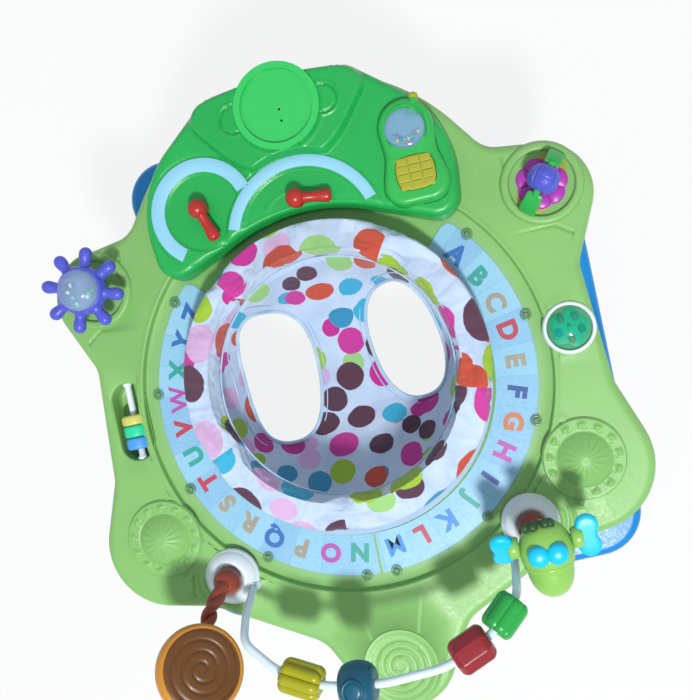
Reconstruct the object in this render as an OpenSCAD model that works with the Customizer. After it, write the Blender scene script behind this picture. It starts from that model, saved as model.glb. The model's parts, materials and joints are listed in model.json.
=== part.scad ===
// Baby walker with a round toy tray, a swivelling fabric seat, four telescoping legs
// and a wheeled base. Millimetres, +Z up, floor at Z = 0, seat axis at X = Y = 0.
// The child faces +Y, towards the play panel.

/* [Tray] */
// Height of the alphabet ring above the floor, tray in its lowest position
tray_z = 400; // [380:5:440]
// How far the tray shell stands above the alphabet ring
tray_rise = 8; // [5:1:12]
// Depth of the tray's outer skirt
skirt_h = 52; // [40:1:60]
// Wall thickness of the moulded shells
wall = 4; // [3:0.5:5]

/* [Seat] */
// Inner radius of the tray's seat opening
seat_bore_r = 160; // [155:1:165]
// Radius of the padded rim's centre line
pad_ring_r = 156; // [150:1:158]
// Radius of the padded rim's section
pad_r = 23; // [18:1:24]
// How far the padded rim sits forward of the swivel axis
pad_forward = 14; // [0:1:16]
// How far the seat is swivelled to the left as it stands
seat_turn = 5; // [0:1:10]
// Depth of the seat below the alphabet ring
seat_depth = 95; // [90:5:110]

/* [Base] */
// Ground clearance under the base
base_z = 38; // [32:1:45]
// Thickness of the base shell
base_h = 46; // [40:1:60]
// Caster wheel radius
wheel_r = 24; // [20:1:26]
// Caster trail, swivel axis to wheel axle
trail = 16; // [12:1:18]

/* [Legs] */
// Travel of the height adjustment
lift = 75; // [30:5:75]
// Sideways position of the legs
leg_x = 284; // [280:1:288]
// Forward position of the front legs
leg_front_y = 185; // [180:1:190]
// Rearward position of the rear legs
leg_rear_y = -160; // [-165:1:-155]

/* [Toys] */
// Radius of the bead wire
wire_r = 4.5; // [3.5:0.5:5]
// Radius of the lollipop disc
lolly_r = 48; // [40:1:52]
// Radius of the clicker dials
dial_r = 47; // [40:1:48]

/* [Hidden] */
$fn = 64;

top_z = tray_z + tray_rise;           // tray shell's upper face
skirt_z = top_z - skirt_h - wall;     // tray skirt's lower edge
pan_z = skirt_z + 2;                  // tray under-shell
gap = 0.3;                            // running clearance between separate bodies
card_in = 178;                        // alphabet ring, inner and outer radius
card_out = 240;
card_r = 228;                         // printed card's outer edge
base_top_z = base_z + base_h;
tower_top_z = 326;
panel_z = top_z + 26;                 // play panel's upper face
station_z = panel_z + 12;

// ---------- outlines: closed chains of circles [x, y, r] joined by tangents ----------
// A negative radius is a hollow curve: the outline runs round its far side.
function tangent_angle(a, b) =
    let (dx = b[0] - a[0], dy = b[1] - a[1])
    atan2(dy, dx) - acos((a[2] - b[2]) / norm([dx, dy]));
function turn(from, to, hollow) =
    let (sweep = (to - from) - 360 * floor((to - from) / 360))
    hollow ? (sweep == 0 ? 0 : sweep - 360) : sweep;
function chain_points(c, grow, chord) = [
    for (i = [0 : len(c) - 1])
        let (
            before = c[(i + len(c) - 1) % len(c)],
            after = c[(i + 1) % len(c)],
            start = tangent_angle(before, c[i]),
            sweep = turn(start, tangent_angle(c[i], after), c[i][2] < 0),
            steps = max(2, ceil(abs(sweep) * PI / 180 * abs(c[i][2]) / chord))
        )
        for (k = [0 : steps])
            let (a = start + sweep * k / steps)
            [c[i][0] + (c[i][2] + grow) * cos(a), c[i][1] + (c[i][2] + grow) * sin(a)]
];
function reversed(c) = [for (i = [len(c) - 1 : -1 : 0]) [-c[i][0], c[i][1], c[i][2]]];

tray_right = [
    [120, -330, -44], [246, -327, -100], [253, -145, 78], [332, -52, -28],
    [323, 75, -28], [271, 166, 57], [238, 263, -34]
];
tray_chain = concat([[0, -326, 64]], tray_right, [[0, 135, 234]], reversed(tray_right));
base_chain = [
    [0, -152, 204], [275, -276, 68], [290, 112, 56], [296, 195, 50], [0, 226, 120],
    [-175, 392, -46], [-267, 331, 59], [-352, 243, -36], [-290, 112, 56], [-275, -276, 68]
];
well_chain = [[130, 160, 90], [-130, 160, 90], [-130, -150, 90], [130, -150, 90]];
panel_right = [[155, 190, 26], [66, 222, 118], [78, 334, 24]];
panel_chain = concat(panel_right, [[0, 243, 120]], reversed(panel_right), [[0, 0, -209]]);
station_chain = [[0, 350, 96], [80, 332, 22], [0, 252, 118], [-80, 332, 22]];
phone_chain = [[124, 205, 23], [152, 205, 23], [203, 243, -36], [138, 268, 31], [73, 243, -36]];

module outline(c, z0, z1, grow = 0, chord = 11) {
    translate([0, 0, z0]) linear_extrude(z1 - z0) polygon(chain_points(c, grow, chord));
}

// ---------- small shared shapes ----------
module rod(r, z0, z1) {
    translate([0, 0, z0]) cylinder(r = r, h = z1 - z0);
}
module tube(r_out, r_in, z0, z1) {
    difference() {
        rod(r_out, z0, z1);
        rod(r_in, z0 - 1, z1 + 1);
    }
}
// Stadium: two round ends a distance apart along Y
module stadium(r, apart, z0, z1) {
    translate([0, 0, z0]) {
        translate([0, apart / 2, 0]) cylinder(r = r, h = z1 - z0);
        translate([0, -apart / 2, 0]) cylinder(r = r, h = z1 - z0);
        translate([-r, -apart / 2, 0]) cube([2 * r, apart, z1 - z0]);
    }
}
// Points one end of a part built along +Z from a towards b
module aim(a, b) {
    d = b - a;
    translate(a) rotate([0, 0, atan2(d[1], d[0])]) rotate([0, acos(d[2] / norm(d)), 0])
        children();
}
module segment(a, b, r) {
    aim(a, b) cylinder(r = r, h = norm(b - a));
}

// ---------- base ----------
casters = [[-267, 331], [296, 195], [-275, -276], [275, -276]];
legs = [[-leg_x, leg_front_y], [leg_x, leg_front_y], [-leg_x, leg_rear_y], [leg_x, leg_rear_y]];
stem_r = 5;
stem_z = 56;
tower_r = 21;
tower_apart = 26;
button_z = 250;
button_r = 9;

module base_top() {
    color("dodgerblue") difference() {
        union() {
            difference() {
                outline(base_chain, base_z, base_top_z);
                difference() {
                    outline(base_chain, base_z - 1, base_top_z - wall, -wall);
                    outline(well_chain, base_z - 2, base_top_z, wall);
                }
            }
            for (c = casters) translate([c[0], c[1], 0]) rod(14, stem_z + 4, base_top_z - 1);
        }
        outline(well_chain, base_z - 3, base_top_z + 1);
        for (c = casters) translate([c[0], c[1], 0]) rod(stem_r, stem_z, base_top_z - 6);
    }
}
module base_pan() {
    color("dodgerblue") difference() {
        outline(base_chain, base_z, base_z + 3, -wall);
        outline(well_chain, base_z - 1, base_z + 4, wall);
        for (c = casters) translate([c[0], c[1], 0]) rod(52, base_z - 1, base_z + 4);
    }
}
module friction_pads() {
    color("dimgray") {
        for (x = [-300, 300]) translate([x, 10, 0]) stadium(11, 90, base_z - 22, base_z);
        for (y = [286, -300]) translate([0, y, 0]) rotate([0, 0, 90])
            stadium(11, 90, base_z - 22, base_z);
    }
}
module leg_tower(p) {
    side = sign(p[0]);
    color("dodgerblue") translate([p[0], p[1], 0]) difference() {
        union() {
            stadium(tower_r, tower_apart, base_top_z, tower_top_z);
            stadium(tower_r + 9, tower_apart, base_top_z, base_top_z + 12);
            stadium(tower_r + 4, tower_apart, tower_top_z - 24, tower_top_z);
            translate([side * (tower_r - 2), 0, button_z]) rotate([0, side * 90, 0])
                rod(button_r + 5, 0, 6);
        }
        stadium(tower_r - wall, tower_apart, base_top_z + 6, tower_top_z + 1);
        translate([0, 0, button_z]) rotate([0, side * 90, 0]) rod(button_r + gap, 0, 40);
    }
}
module height_button(p) {
    side = sign(p[0]);
    color("tomato") translate([p[0], p[1], button_z]) rotate([0, side * 90, 0]) {
        rod(button_r, tower_r - 1.5, tower_r + 7.5);
        rod(4, tower_r - 8, tower_r - 1.5);
    }
}
module caster_fork(p) {
    color("gray") translate([p[0], p[1], 0]) {
        rod(stem_r - 0.1, stem_z - 2, base_top_z - 8);
        translate([-15.5, -trail - 8, stem_z - 6]) cube([31, trail + 20, 4]);
        for (x = [-15.5, 12]) translate([x, -trail - 7, wheel_r - 7]) cube([3.5, 14, stem_z - wheel_r + 3]);
        translate([-15.5, -trail, wheel_r]) rotate([0, 90, 0]) cylinder(r = 3, h = 31);
    }
}
module caster_wheel(p) {
    color("lightgray") translate([p[0], p[1] - trail, wheel_r]) rotate([0, 90, 0]) difference() {
        union() {
            rod(wheel_r, -8, 8);
            rod(wheel_r - 3, -11, 11);
        }
        rod(3.1, -12, 12);
    }
}

// ---------- tray ----------
slot_at = [-262, 10];
dome_at = [268, 11];
dial_at = [253.5, -137];
cup_at = [180, -197];
rattle_at = [-272, 175];
flower_at = [272, 176];
slot_r = 20;
slot_apart = 54;
lever_pin_r = 4;
dial_pin_r = 6;

module tray_top() {
    color("yellowgreen") difference() {
        union() {
            difference() {
                outline(tray_chain, skirt_z, top_z);
                outline(tray_chain, skirt_z - 1, top_z - wall, -wall);
            }
            tube(card_out + 4, seat_bore_r, tray_z - wall, top_z - 1);
            tube(seat_bore_r + 5, seat_bore_r, skirt_z + 6, top_z - 1);
            translate([0, -332, 0]) rod(47, top_z - 1, top_z + 16);
            for (c = [rattle_at, flower_at]) translate([c[0], c[1], 0]) tube(44.5, 40.3, top_z - 1, top_z + 5);
        }
        rod(seat_bore_r, skirt_z - 1, top_z + 1);
        tube(card_out, card_in - 2, tray_z, top_z + 1);
        translate([slot_at[0], slot_at[1], 0]) stadium(slot_r + 2, slot_apart, skirt_z, top_z + 1);
        for (s = [-1, 1]) translate([s * dial_at[0], dial_at[1], 0]) rod(dial_pin_r + 0.1, skirt_z, top_z + 1);
        translate([dome_at[0], dome_at[1], 0]) rod(dial_pin_r + 0.1, skirt_z, top_z + 1);
    }
}
module tray_bottom() {
    color("yellowgreen") difference() {
        outline(tray_chain, pan_z, pan_z + wall, -wall);
        rod(seat_bore_r + 5, pan_z - 1, pan_z + wall + 1);
    }
}
module leg_posts() {
    color("whitesmoke") for (p = legs) translate([p[0], p[1], 0]) difference() {
        stadium(tower_r - wall - 1, tower_apart, base_top_z + 16, pan_z);
        translate([sign(p[0]) * 13, 0, base_top_z + 10]) translate([-4.5, -6, 0])
            cube([9, 12, pan_z - base_top_z - 30]);
    }
}
// The printed ring, open in front where the play panel stands
module alphabet_card() {
    color("white") ring_sector(card_r, card_in, tray_z, tray_z + 1.2);
}
module alphabet_cover() {
    color("lightcyan", 0.4) ring_sector(card_r + 5, card_in, tray_z + 1.2, tray_z + 3);
}
module ring_sector(r_out, r_in, z0, z1) {
    difference() {
        tube(r_out, r_in, z0, z1);
        translate([0, 0, z0 - 1]) linear_extrude(z1 - z0 + 2) polygon([
            [0, 0], [300 * cos(46), 300 * sin(46)], [200, 400], [-200, 400],
            [300 * cos(134), 300 * sin(134)]
        ]);
    }
}
screw_angles = [38, 9, -22, -54, -86, -95, -126, -158, 171, 142];
module cover_screws() {
    color("silver") for (a = screw_angles) rotate([0, 0, a]) translate([card_r - 1, 0, 0])
        rod(3.2, tray_z + 3, tray_z + 5);
}
rod_z = top_z - 9;
module slot_pan() {
    color("yellowgreen") translate([slot_at[0], slot_at[1], 0]) difference() {
        stadium(slot_r + 2, slot_apart, top_z - 30, top_z);
        stadium(slot_r, slot_apart, top_z - 27, top_z + 1);
        translate([0, -48, rod_z]) rotate([-90, 0, 0]) cylinder(r = 4.05, h = 96);
    }
}
module slot_rod() {
    color("white") translate([slot_at[0], slot_at[1] - 47.8, rod_z]) rotate([-90, 0, 0])
        cylinder(r = 4, h = 95.6);
}
module slot_rings() {
    for (r = [["gold", -4, 12], ["mediumaquamarine", -19, 14.5], ["cornflowerblue", -34, 14.5]])
        color(r[0]) translate([slot_at[0], slot_at[1] + r[1], rod_z]) rotate([-90, 0, 0])
            tube(16, 4.5, 0, r[2]);
}
module toy_cups() {
    color("white") for (s = [-1, 1]) translate([s * cup_at[0], cup_at[1], 0]) difference() {
        union() {
            rod(31, top_z, top_z + 6);
            translate([0, 0, top_z + 6]) cylinder(r1 = 31, r2 = 22, h = 8);
        }
        translate([0, 0, top_z + 24]) sphere(r = 16.4);
        translate([-s * cup_at[0], -cup_at[1], 0])
            segment([s * 155, -205, top_z - 21], [s * 154, -228, 468], wire_r + 0.1);
    }
}
module dome_ring() {
    color("white") translate([dome_at[0], dome_at[1], 0]) tube(29, 25, top_z, top_z + 5);
}
module rattle_post() {
    color("mediumpurple") translate([rattle_at[0], rattle_at[1], 0]) {
        rod(14, top_z, top_z + 8);
        rod(7, top_z + 7, top_z + 38);
    }
}
arch_r = 37;
flower_pin_r = 4;
arch_turn = 50;
module flower_arch() {
    color("limegreen") translate([flower_at[0], flower_at[1], top_z]) rotate([0, 0, arch_turn]) {
        for (s = [0, 180]) rotate([0, 0, s]) rotate([90, 0, 0])
            rotate_extrude(angle = 58) translate([arch_r - 2, -9]) square([4, 18]);
        translate([-20, 0, arch_r - 4]) rotate([0, 90, 0]) cylinder(r = 4, h = 40);
        rod(flower_pin_r, 0, 8);
    }
}

// ---------- play panel ----------
lever_at = [[-113, 235], [1, 220]];
left_dial = [-111, 232];
right_dial = [2, 178];
disc_at = [2, 326];
module play_panel() {
    color("mediumseagreen") difference() {
        union() {
            difference() {
                outline(panel_chain, top_z, panel_z);
                outline(panel_chain, top_z - 1, panel_z - wall, -wall);
            }
            difference() {
                intersection() {
                    outline(station_chain, panel_z - 1, station_z);
                    outline(panel_chain, panel_z - 1, station_z, -3);
                }
                translate([left_dial[0], left_dial[1], 0]) rod(65, panel_z, station_z + 1);
                translate([right_dial[0], right_dial[1], 0]) rod(94, panel_z, station_z + 1);
            }
        }
        outline(phone_chain, panel_z - 1.5, panel_z + 5, 3, 5);
        translate([disc_at[0], disc_at[1], 0]) rod(49.5, station_z - 6, station_z + 1);
        for (p = lever_at) translate([p[0], p[1], 0]) rod(lever_pin_r + 0.1, top_z, panel_z + 1);
    }
}
// White scales round the two levers
module dial_plates() {
    color("lightcyan") {
        difference() {
            translate([left_dial[0], left_dial[1], 0]) intersection() {
                tube(63, 46, panel_z, panel_z + 1.5);
                linear_extrude(600) polygon([
                    [0, 0], [90 * cos(18), 90 * sin(18)], [90, 90], [-90, 90], [-90, -90],
                    [90 * cos(234), 90 * sin(234)]
                ]);
            }
            translate([right_dial[0], right_dial[1], 0]) rod(93, panel_z - 1, panel_z + 3);
        }
        difference() {
            translate([right_dial[0], right_dial[1], 0]) tube(92, 78, panel_z, panel_z + 1.5);
            rod(220, panel_z - 1, panel_z + 3);
        }
    }
}
module toy_station() {
    color("mediumseagreen") translate([disc_at[0], disc_at[1], 0]) difference() {
        union() {
            tube(49.5, 42, station_z - 6, station_z + 3);
            rod(42, station_z - 6, station_z - 2);
        }
        for (y = [-17, -4]) translate([2, y, 0]) rod(1.5, station_z - 7, station_z);
    }
}
module lever(p, a) {
    color("firebrick") translate([p[0], p[1], panel_z]) rotate([0, 0, a]) {
        rod(lever_pin_r, -8, 2);
        rod(9, gap + 1.5, 12);
        translate([0, 0, 14]) sphere(r = 11);
        segment([0, 0, 12], [33, 0, 9], 5);
        translate([34, 0, 9]) sphere(r = 6.5);
    }
}
phone_z = panel_z - 1.5;
keypad_at = [139, 216];
window_at = [137, 266];
module phone_body() {
    color("limegreen") difference() {
        union() {
            outline(phone_chain, phone_z, phone_z + 14, 0, 5);
            segment([151, 286, phone_z + 7], [155, 295, phone_z + 7], 5);
        }
        translate([window_at[0], window_at[1], 0]) rod(24, phone_z + 8, phone_z + 15);
        translate([keypad_at[0] - 22.3, keypad_at[1] - 18.3, phone_z + 8]) cube([44.6, 36.6, 8]);
    }
}
module phone_window() {
    color("lightblue", 0.5) translate([window_at[0], window_at[1], phone_z + 8]) intersection() {
        translate([0, 0, -20]) sphere(r = 33);
        rod(24, 0, 14);
    }
}
module phone_keypad() {
    color("khaki") translate([keypad_at[0] - 22, keypad_at[1] - 18, phone_z + 10.5])
        cube([44, 36, 6]);
}

// ---------- seat ----------
ring_z = top_z + gap;                 // underside of the seat ring's flange
module seat_ring() {
    color("whitesmoke") {
        tube(card_in - 3, 152, ring_z, ring_z + 6);
        tube(seat_bore_r - 0.5, 154, skirt_z + 1, ring_z + 6);
    }
}
module seat_retainer() {
    color("whitesmoke") tube(seat_bore_r + 4, 154, skirt_z - 5, skirt_z + 1);
}
module seat_pad() {
    color("hotpink") translate([0, pad_forward, ring_z + 6 + pad_r]) rotate_extrude()
        translate([pad_ring_r, 0]) circle(r = pad_r);
}
leg_hole_at = [84, 26];
module seat_bucket() {
    floor_z = tray_z - seat_depth;
    color("hotpink") difference() {
        rotate_extrude() polygon([
            [0, floor_z], [80, floor_z], [112, floor_z + 14], [132, floor_z + 46],
            [144, floor_z + 84], [152, ring_z], [152, ring_z + 6], [148, ring_z + 6],
            [140, floor_z + 84], [128, floor_z + 47], [109, floor_z + 17],
            [79, floor_z + 4], [0, floor_z + 4]
        ]);
        rotate([0, 0, seat_turn]) for (s = [-1, 1])
            translate([s * leg_hole_at[0], leg_hole_at[1], 0])
                stadium(44, 86, floor_z - 1, floor_z + 52);
    }
}

// ---------- toys ----------
rattle_z = top_z + 38;
module rattle_wheel() {
    color("mediumslateblue") translate([rattle_at[0], rattle_at[1], 0]) {
        difference() {
            rod(29, rattle_z - 12, rattle_z + 10);
            rod(7.2, rattle_z - 13, rattle_z + 1);
        }
        for (k = [0 : 7]) rotate([0, 0, 27 + 45 * k]) {
            segment([26, 0, rattle_z], [42, 0, rattle_z - 1], 6.5);
            translate([43, 0, rattle_z - 1]) sphere(r = 8);
        }
    }
}
module rattle_dome() {
    color("lightblue", 0.5) translate([rattle_at[0], rattle_at[1], rattle_z + 10]) intersection() {
        translate([0, 0, -10]) sphere(r = 27);
        rod(25, 0, 20);
    }
}
flower_z = top_z + 0.5;
module flower_spinner() {
    color("orchid") translate([flower_at[0], flower_at[1], flower_z]) difference() {
        union() {
            rod(12, 0, 12);
            rod(27, 0.5, 4);
            for (k = [0 : 5]) rotate([0, 0, 60 * k]) translate([18, 0, 0]) rod(9.5, 3, 8);
        }
        rod(flower_pin_r + 0.1, -1, 9);
    }
}
ball_z = top_z + arch_r - 4;
module ladybird_bead() {
    color("slateblue") translate([flower_at[0], flower_at[1], ball_z]) rotate([0, 0, arch_turn])
        rotate([0, 90, 0]) difference() {
            intersection() {
                sphere(r = 17.5);
                rod(18, -14, 14);
            }
            rod(4.3, -18, 18);
        }
}
module bubble_dome() {
    color("seagreen", 0.6) translate([dome_at[0], dome_at[1], 0]) {
        intersection() {
            translate([0, 0, top_z - 9]) sphere(r = 27);
            rod(24.5, top_z + gap, top_z + 20);
        }
        rod(dial_pin_r, top_z - 14, top_z + 1);
    }
}
module clicker_dial(s) {
    color("yellowgreen") translate([s * dial_at[0], dial_at[1], 0]) {
        rod(dial_r, top_z + gap, top_z + 4);
        intersection() {
            translate([0, 0, top_z - 22]) sphere(r = 38);
            rod(28, top_z + 3, top_z + 18);
        }
        for (k = [0 : 11]) rotate([0, 0, 30 * k]) translate([38, 0, 0]) intersection() {
            translate([0, 0, top_z + 1]) sphere(r = 5.5);
            rod(7, top_z + 2, top_z + 10);
        }
        rod(dial_pin_r, top_z - 14, top_z + 1);
    }
}
ball_joint_z = top_z + 24;
lolly_at = [-197, -262, 529];
lolly_foot = [-cup_at[0], cup_at[1], ball_joint_z];
lolly_yaw = 25;      // the disc's face turns towards the seat
lolly_tip = 42;      // and leans back from upright
module lolly_frame() {
    translate(lolly_at) rotate([0, 0, lolly_yaw]) rotate([0, lolly_tip, 0]) children();
}
module lollipop_stem() {
    color("saddlebrown") {
        translate(lolly_foot) sphere(r = 16);
        segment(lolly_foot, [-190, -212, 468], 6.5);
        segment([-190, -212, 468], [-196, -228, 482], 6);
        translate([-190, -212, 468]) sphere(r = 7.5);
        translate([-196, -228, 482]) sphere(r = 7.5);
        segment([-196, -228, 482], [-199, -246, 498], 5.5);
    }
}
module lollipop_disc() {
    color("darkorange") difference() {
        lolly_frame() union() {
            rod(lolly_r, -7, 7);
            rod(lolly_r - 5, -10, 10);
        }
        lollipop_stem();
    }
}
plane_y = -197;
plane_z = 492;
plane_x = 190;
axle_y = plane_y - 4;
module plane_body() {
    color("yellowgreen") difference() {
        union() {
            translate([plane_x, plane_y, plane_z]) rotate([96, 0, 0]) rotate_extrude() polygon([
                [0, -18], [12, -17], [20, -13], [26, -4], [28.5, 8], [28, 20], [25, 34],
                [20, 48], [14, 57], [7, 61.5], [0, 63]
            ]);
            translate([cup_at[0], cup_at[1], ball_joint_z]) sphere(r = 16);
            segment([cup_at[0], cup_at[1], ball_joint_z], [plane_x - 3, plane_y, plane_z - 16], 8);
        }
        translate([plane_x - 40, axle_y, plane_z]) rotate([0, 90, 0]) cylinder(r = 4.1, h = 80);
    }
}
module plane_wings() {
    color("deepskyblue") {
        translate([plane_x - 38, axle_y, plane_z]) rotate([0, 90, 0]) cylinder(r = 4, h = 76);
        for (s = [-1, 1]) translate([plane_x + s * 45, axle_y, plane_z])
            rotate([s < 0 ? 42 : 12, 0, 0]) {
                for (e = [-11, 11]) translate([0, e, -4.5]) cylinder(r = 12, h = 9);
                translate([-9.5, -11, -4.5]) cube([19, 22, 9]);
            }
    }
}

// ---------- bead wire ----------
// Right half of the wire, from its foot to the middle of the arch
wire_right = [
    [155, -211, top_z], [154, -228, 468], [150, -248, 508], [114, -279, 524], [64, -300, 532]
];
function mirrored(route) = [
    for (i = [len(route) - 1 : -1 : 0]) [-route[i][0], route[i][1], route[i][2]]
];
wire_points = concat(wire_right, [[0, -304, 538]], mirrored(wire_right));
wire_sides = 16;
wire_last = len(wire_points) - 1;
function unit(v) = v / norm(v);
function leg_dir(i) = unit(wire_points[i + 1] - wire_points[i]);
// Plane that mitres the wire at point i; the two feet are cut level
function mitre(i) = i == 0 || i == wire_last ? [0, 0, 1] : unit(leg_dir(i - 1) + leg_dir(i));
// Slides each corner of a ring along dir onto the plane through point i
function slide_ring(ring, dir, i) = [
    for (p = ring) p + dir * ((wire_points[i] - p) * mitre(i)) / (dir * mitre(i))
];
function wire_rings(i, ring) = i == wire_last ? [ring] :
    concat([ring], wire_rings(i + 1, slide_ring(ring, leg_dir(i), i + 1)));
module bead_wire() {
    side = unit(cross(leg_dir(0), [0, 1, 0]));
    front = cross(leg_dir(0), side);
    foot = [
        for (k = [0 : wire_sides - 1])
            let (a = 360 * k / wire_sides)
            wire_points[0] + wire_r * (cos(a) * side + sin(a) * front)
    ];
    rings = wire_rings(0, slide_ring(foot, leg_dir(0), 0));
    n = wire_sides;
    color("aliceblue") polyhedron(
        points = [for (r = rings) for (p = r) p],
        faces = concat(
            [[for (k = [0 : n - 1]) k]],
            [[for (k = [n - 1 : -1 : 0]) wire_last * n + k]],
            [
                for (i = [0 : wire_last - 1])
                    for (k = [0 : n - 1])
                        [i * n + k, (i + 1) * n + k, (i + 1) * n + (k + 1) % n, i * n + (k + 1) % n]
            ]
        )
    );
}
// Places a bead built along +Z at a share of the way along wire segment i
module on_wire(i, share) {
    a = wire_points[i];
    b = wire_points[i + 1];
    aim(a + (b - a) * share, b) children();
}
module barrel_bead(r, len, sides) {
    difference() {
        union() {
            cylinder(r = r, h = len - 10, center = true, $fn = sides);
            translate([0, 0, len / 2 - 5]) cylinder(r = r - 3, h = 5, $fn = sides);
            translate([0, 0, -len / 2]) cylinder(r = r - 3, h = 5, $fn = sides);
        }
        cylinder(r = wire_r + 0.5, h = len + 2, center = true);
    }
}
module bead_yellow() {
    color("gold") on_wire(6, 0.5) difference() {
        union() {
            cylinder(r = 17, h = 46, center = true);
            for (k = [0 : 7]) rotate([0, 0, 45 * k]) translate([15.5, 0, 0])
                cylinder(r = 4, h = 38, center = true);
        }
        cylinder(r = wire_r + 0.5, h = 60, center = true);
    }
}
module bead_blue() {
    color("steelblue") on_wire(5, 0.45) difference() {
        intersection() {
            sphere(r = 25);
            cylinder(r = 30, h = 40, center = true);
        }
        cylinder(r = wire_r + 0.5, h = 60, center = true);
    }
}
module bead_red() {
    color("crimson") on_wire(3, 0.4) barrel_bead(20, 42, 8);
}
module bead_green() {
    color("green") on_wire(2, 0.45) barrel_bead(18, 38, 8);
}

base_top();
base_pan();
friction_pads();
leg_tower(legs[0]);  // leg_tower_fl
leg_tower(legs[1]);  // leg_tower_fr
leg_tower(legs[2]);  // leg_tower_rl
leg_tower(legs[3]);  // leg_tower_rr
height_button(legs[0]);  // height_button_fl
height_button(legs[1]);  // height_button_fr
height_button(legs[2]);  // height_button_rl
height_button(legs[3]);  // height_button_rr
caster_fork(casters[0]);  // caster_fork_fl
caster_fork(casters[1]);  // caster_fork_fr
caster_fork(casters[2]);  // caster_fork_rl
caster_fork(casters[3]);  // caster_fork_rr
caster_wheel(casters[0]);  // caster_wheel_fl
caster_wheel(casters[1]);  // caster_wheel_fr
caster_wheel(casters[2]);  // caster_wheel_rl
caster_wheel(casters[3]);  // caster_wheel_rr
tray_top();
tray_bottom();
leg_posts();
alphabet_card();
alphabet_cover();
cover_screws();
slot_pan();
slot_rod();
play_panel();
dial_plates();
toy_station();
toy_cups();
bead_wire();
dome_ring();
rattle_post();
flower_arch();
seat_ring();
seat_retainer();
seat_pad();
seat_bucket();
rattle_wheel();
rattle_dome();
flower_spinner();
ladybird_bead();
bubble_dome();
slot_rings();
clicker_dial(-1);  // clicker_dial_left
clicker_dial(1);  // clicker_dial_right
lever(lever_at[0], -72);  // lever_left
lever(lever_at[1], -8);  // lever_right
phone_body();
phone_window();
phone_keypad();
lollipop_stem();
lollipop_disc();
plane_body();
plane_wings();
bead_yellow();
bead_blue();
bead_red();
bead_green();
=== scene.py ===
import json
import math

import bmesh
import bpy
import numpy as np
from mathutils import Matrix, Vector, noise
from mathutils.geometry import delaunay_2d_cdt
from mathutils.kdtree import KDTree


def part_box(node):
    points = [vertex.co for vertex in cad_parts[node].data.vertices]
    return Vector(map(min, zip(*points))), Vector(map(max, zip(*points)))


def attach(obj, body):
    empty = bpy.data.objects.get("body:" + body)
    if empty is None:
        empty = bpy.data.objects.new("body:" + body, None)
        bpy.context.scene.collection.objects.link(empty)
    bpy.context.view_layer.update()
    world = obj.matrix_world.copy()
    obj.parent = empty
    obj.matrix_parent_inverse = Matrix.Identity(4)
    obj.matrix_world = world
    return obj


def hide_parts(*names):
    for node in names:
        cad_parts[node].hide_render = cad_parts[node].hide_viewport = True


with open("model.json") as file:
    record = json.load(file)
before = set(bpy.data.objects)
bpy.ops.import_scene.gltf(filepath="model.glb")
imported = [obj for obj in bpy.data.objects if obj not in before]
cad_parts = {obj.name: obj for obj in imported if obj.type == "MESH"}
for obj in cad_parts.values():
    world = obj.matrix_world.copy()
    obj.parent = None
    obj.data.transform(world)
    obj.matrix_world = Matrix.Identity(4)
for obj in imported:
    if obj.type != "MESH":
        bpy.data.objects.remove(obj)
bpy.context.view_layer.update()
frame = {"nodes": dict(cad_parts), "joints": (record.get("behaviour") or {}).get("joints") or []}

MM = 0.001
TAU = 2 * math.pi

# ---------------------------------------------------------------- places, from the frame


def low(node):
    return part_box(node)[0]


def high(node):
    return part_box(node)[1]


def mid(node):
    return (low(node) + high(node)) / 2


TOP = low("toy_cups").z              # the tray shell's upper face
CARD = low("alphabet_card").z        # floor of the alphabet ring
SKIRT = low("tray_top").z
PANEL = low("dial_plates").z         # the play panel's upper face
STATION = high("play_panel").z       # top of the raised toy station
BASE_LOW = low("base_top").z
BASE_TOP = high("base_top").z
SEAT_TURN = math.radians(5)          # how far the seat is swivelled as it stands
BOSS = Vector((0, -0.332, 0))        # round boss on the tray's tongue
LETTER_STEP = 10.05                  # degrees between two letters of the card

# ---------------------------------------------------------------- outlines
# Each outline is a closed chain of circles (x, y, radius) in millimetres, joined by tangents.
# A negative radius is a hollow curve.

TRAY_RIGHT = [
    (120, -330, -44), (246, -327, -100), (253, -145, 78), (332, -52, -28),
    (323, 75, -28), (271, 166, 57), (238, 263, -34)]
PANEL_RIGHT = [(155, 190, 26), (66, 222, 118), (78, 334, 24)]


def mirrored(chain):
    return [(-x, y, r) for x, y, r in reversed(chain)]


TRAY_CHAIN = [(0, -326, 64)] + TRAY_RIGHT + [(0, 135, 234)] + mirrored(TRAY_RIGHT)
BASE_CHAIN = [
    (0, -152, 204), (275, -276, 68), (290, 112, 56), (296, 195, 50), (0, 226, 120),
    (-175, 392, -46), (-267, 331, 59), (-352, 243, -36), (-290, 112, 56), (-275, -276, 68)]
WELL_CHAIN = [(130, 160, 90), (-130, 160, 90), (-130, -150, 90), (130, -150, 90)]
PANEL_CHAIN = PANEL_RIGHT + [(0, 243, 120)] + mirrored(PANEL_RIGHT) + [(0, 0, -209)]
STATION_CHAIN = [(0, 350, 96), (80, 332, 22), (0, 252, 118), (-80, 332, 22)]
PHONE_CHAIN = [(124, 205, 23), (152, 205, 23), (203, 243, -36), (138, 268, 31), (73, 243, -36)]


def tangent_angle(a, b):
    dx, dy = b[0] - a[0], b[1] - a[1]
    return math.atan2(dy, dx) - math.acos((a[2] - b[2]) / math.hypot(dx, dy))


def chain_corners(circles, grow, chord):
    """Points along the arcs of a chain, in millimetres."""
    points = []
    for i, c in enumerate(circles):
        start = tangent_angle(circles[i - 1], c)
        sweep = (tangent_angle(c, circles[(i + 1) % len(circles)]) - start) % TAU
        if c[2] < 0:
            sweep -= TAU
        steps = max(3, math.ceil(abs(sweep * c[2]) / chord))
        for k in range(steps + 1):
            a = start + sweep * k / steps
            points.append((c[0] + (c[2] + grow) * math.cos(a), c[1] + (c[2] + grow) * math.sin(a)))
    return points


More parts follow.
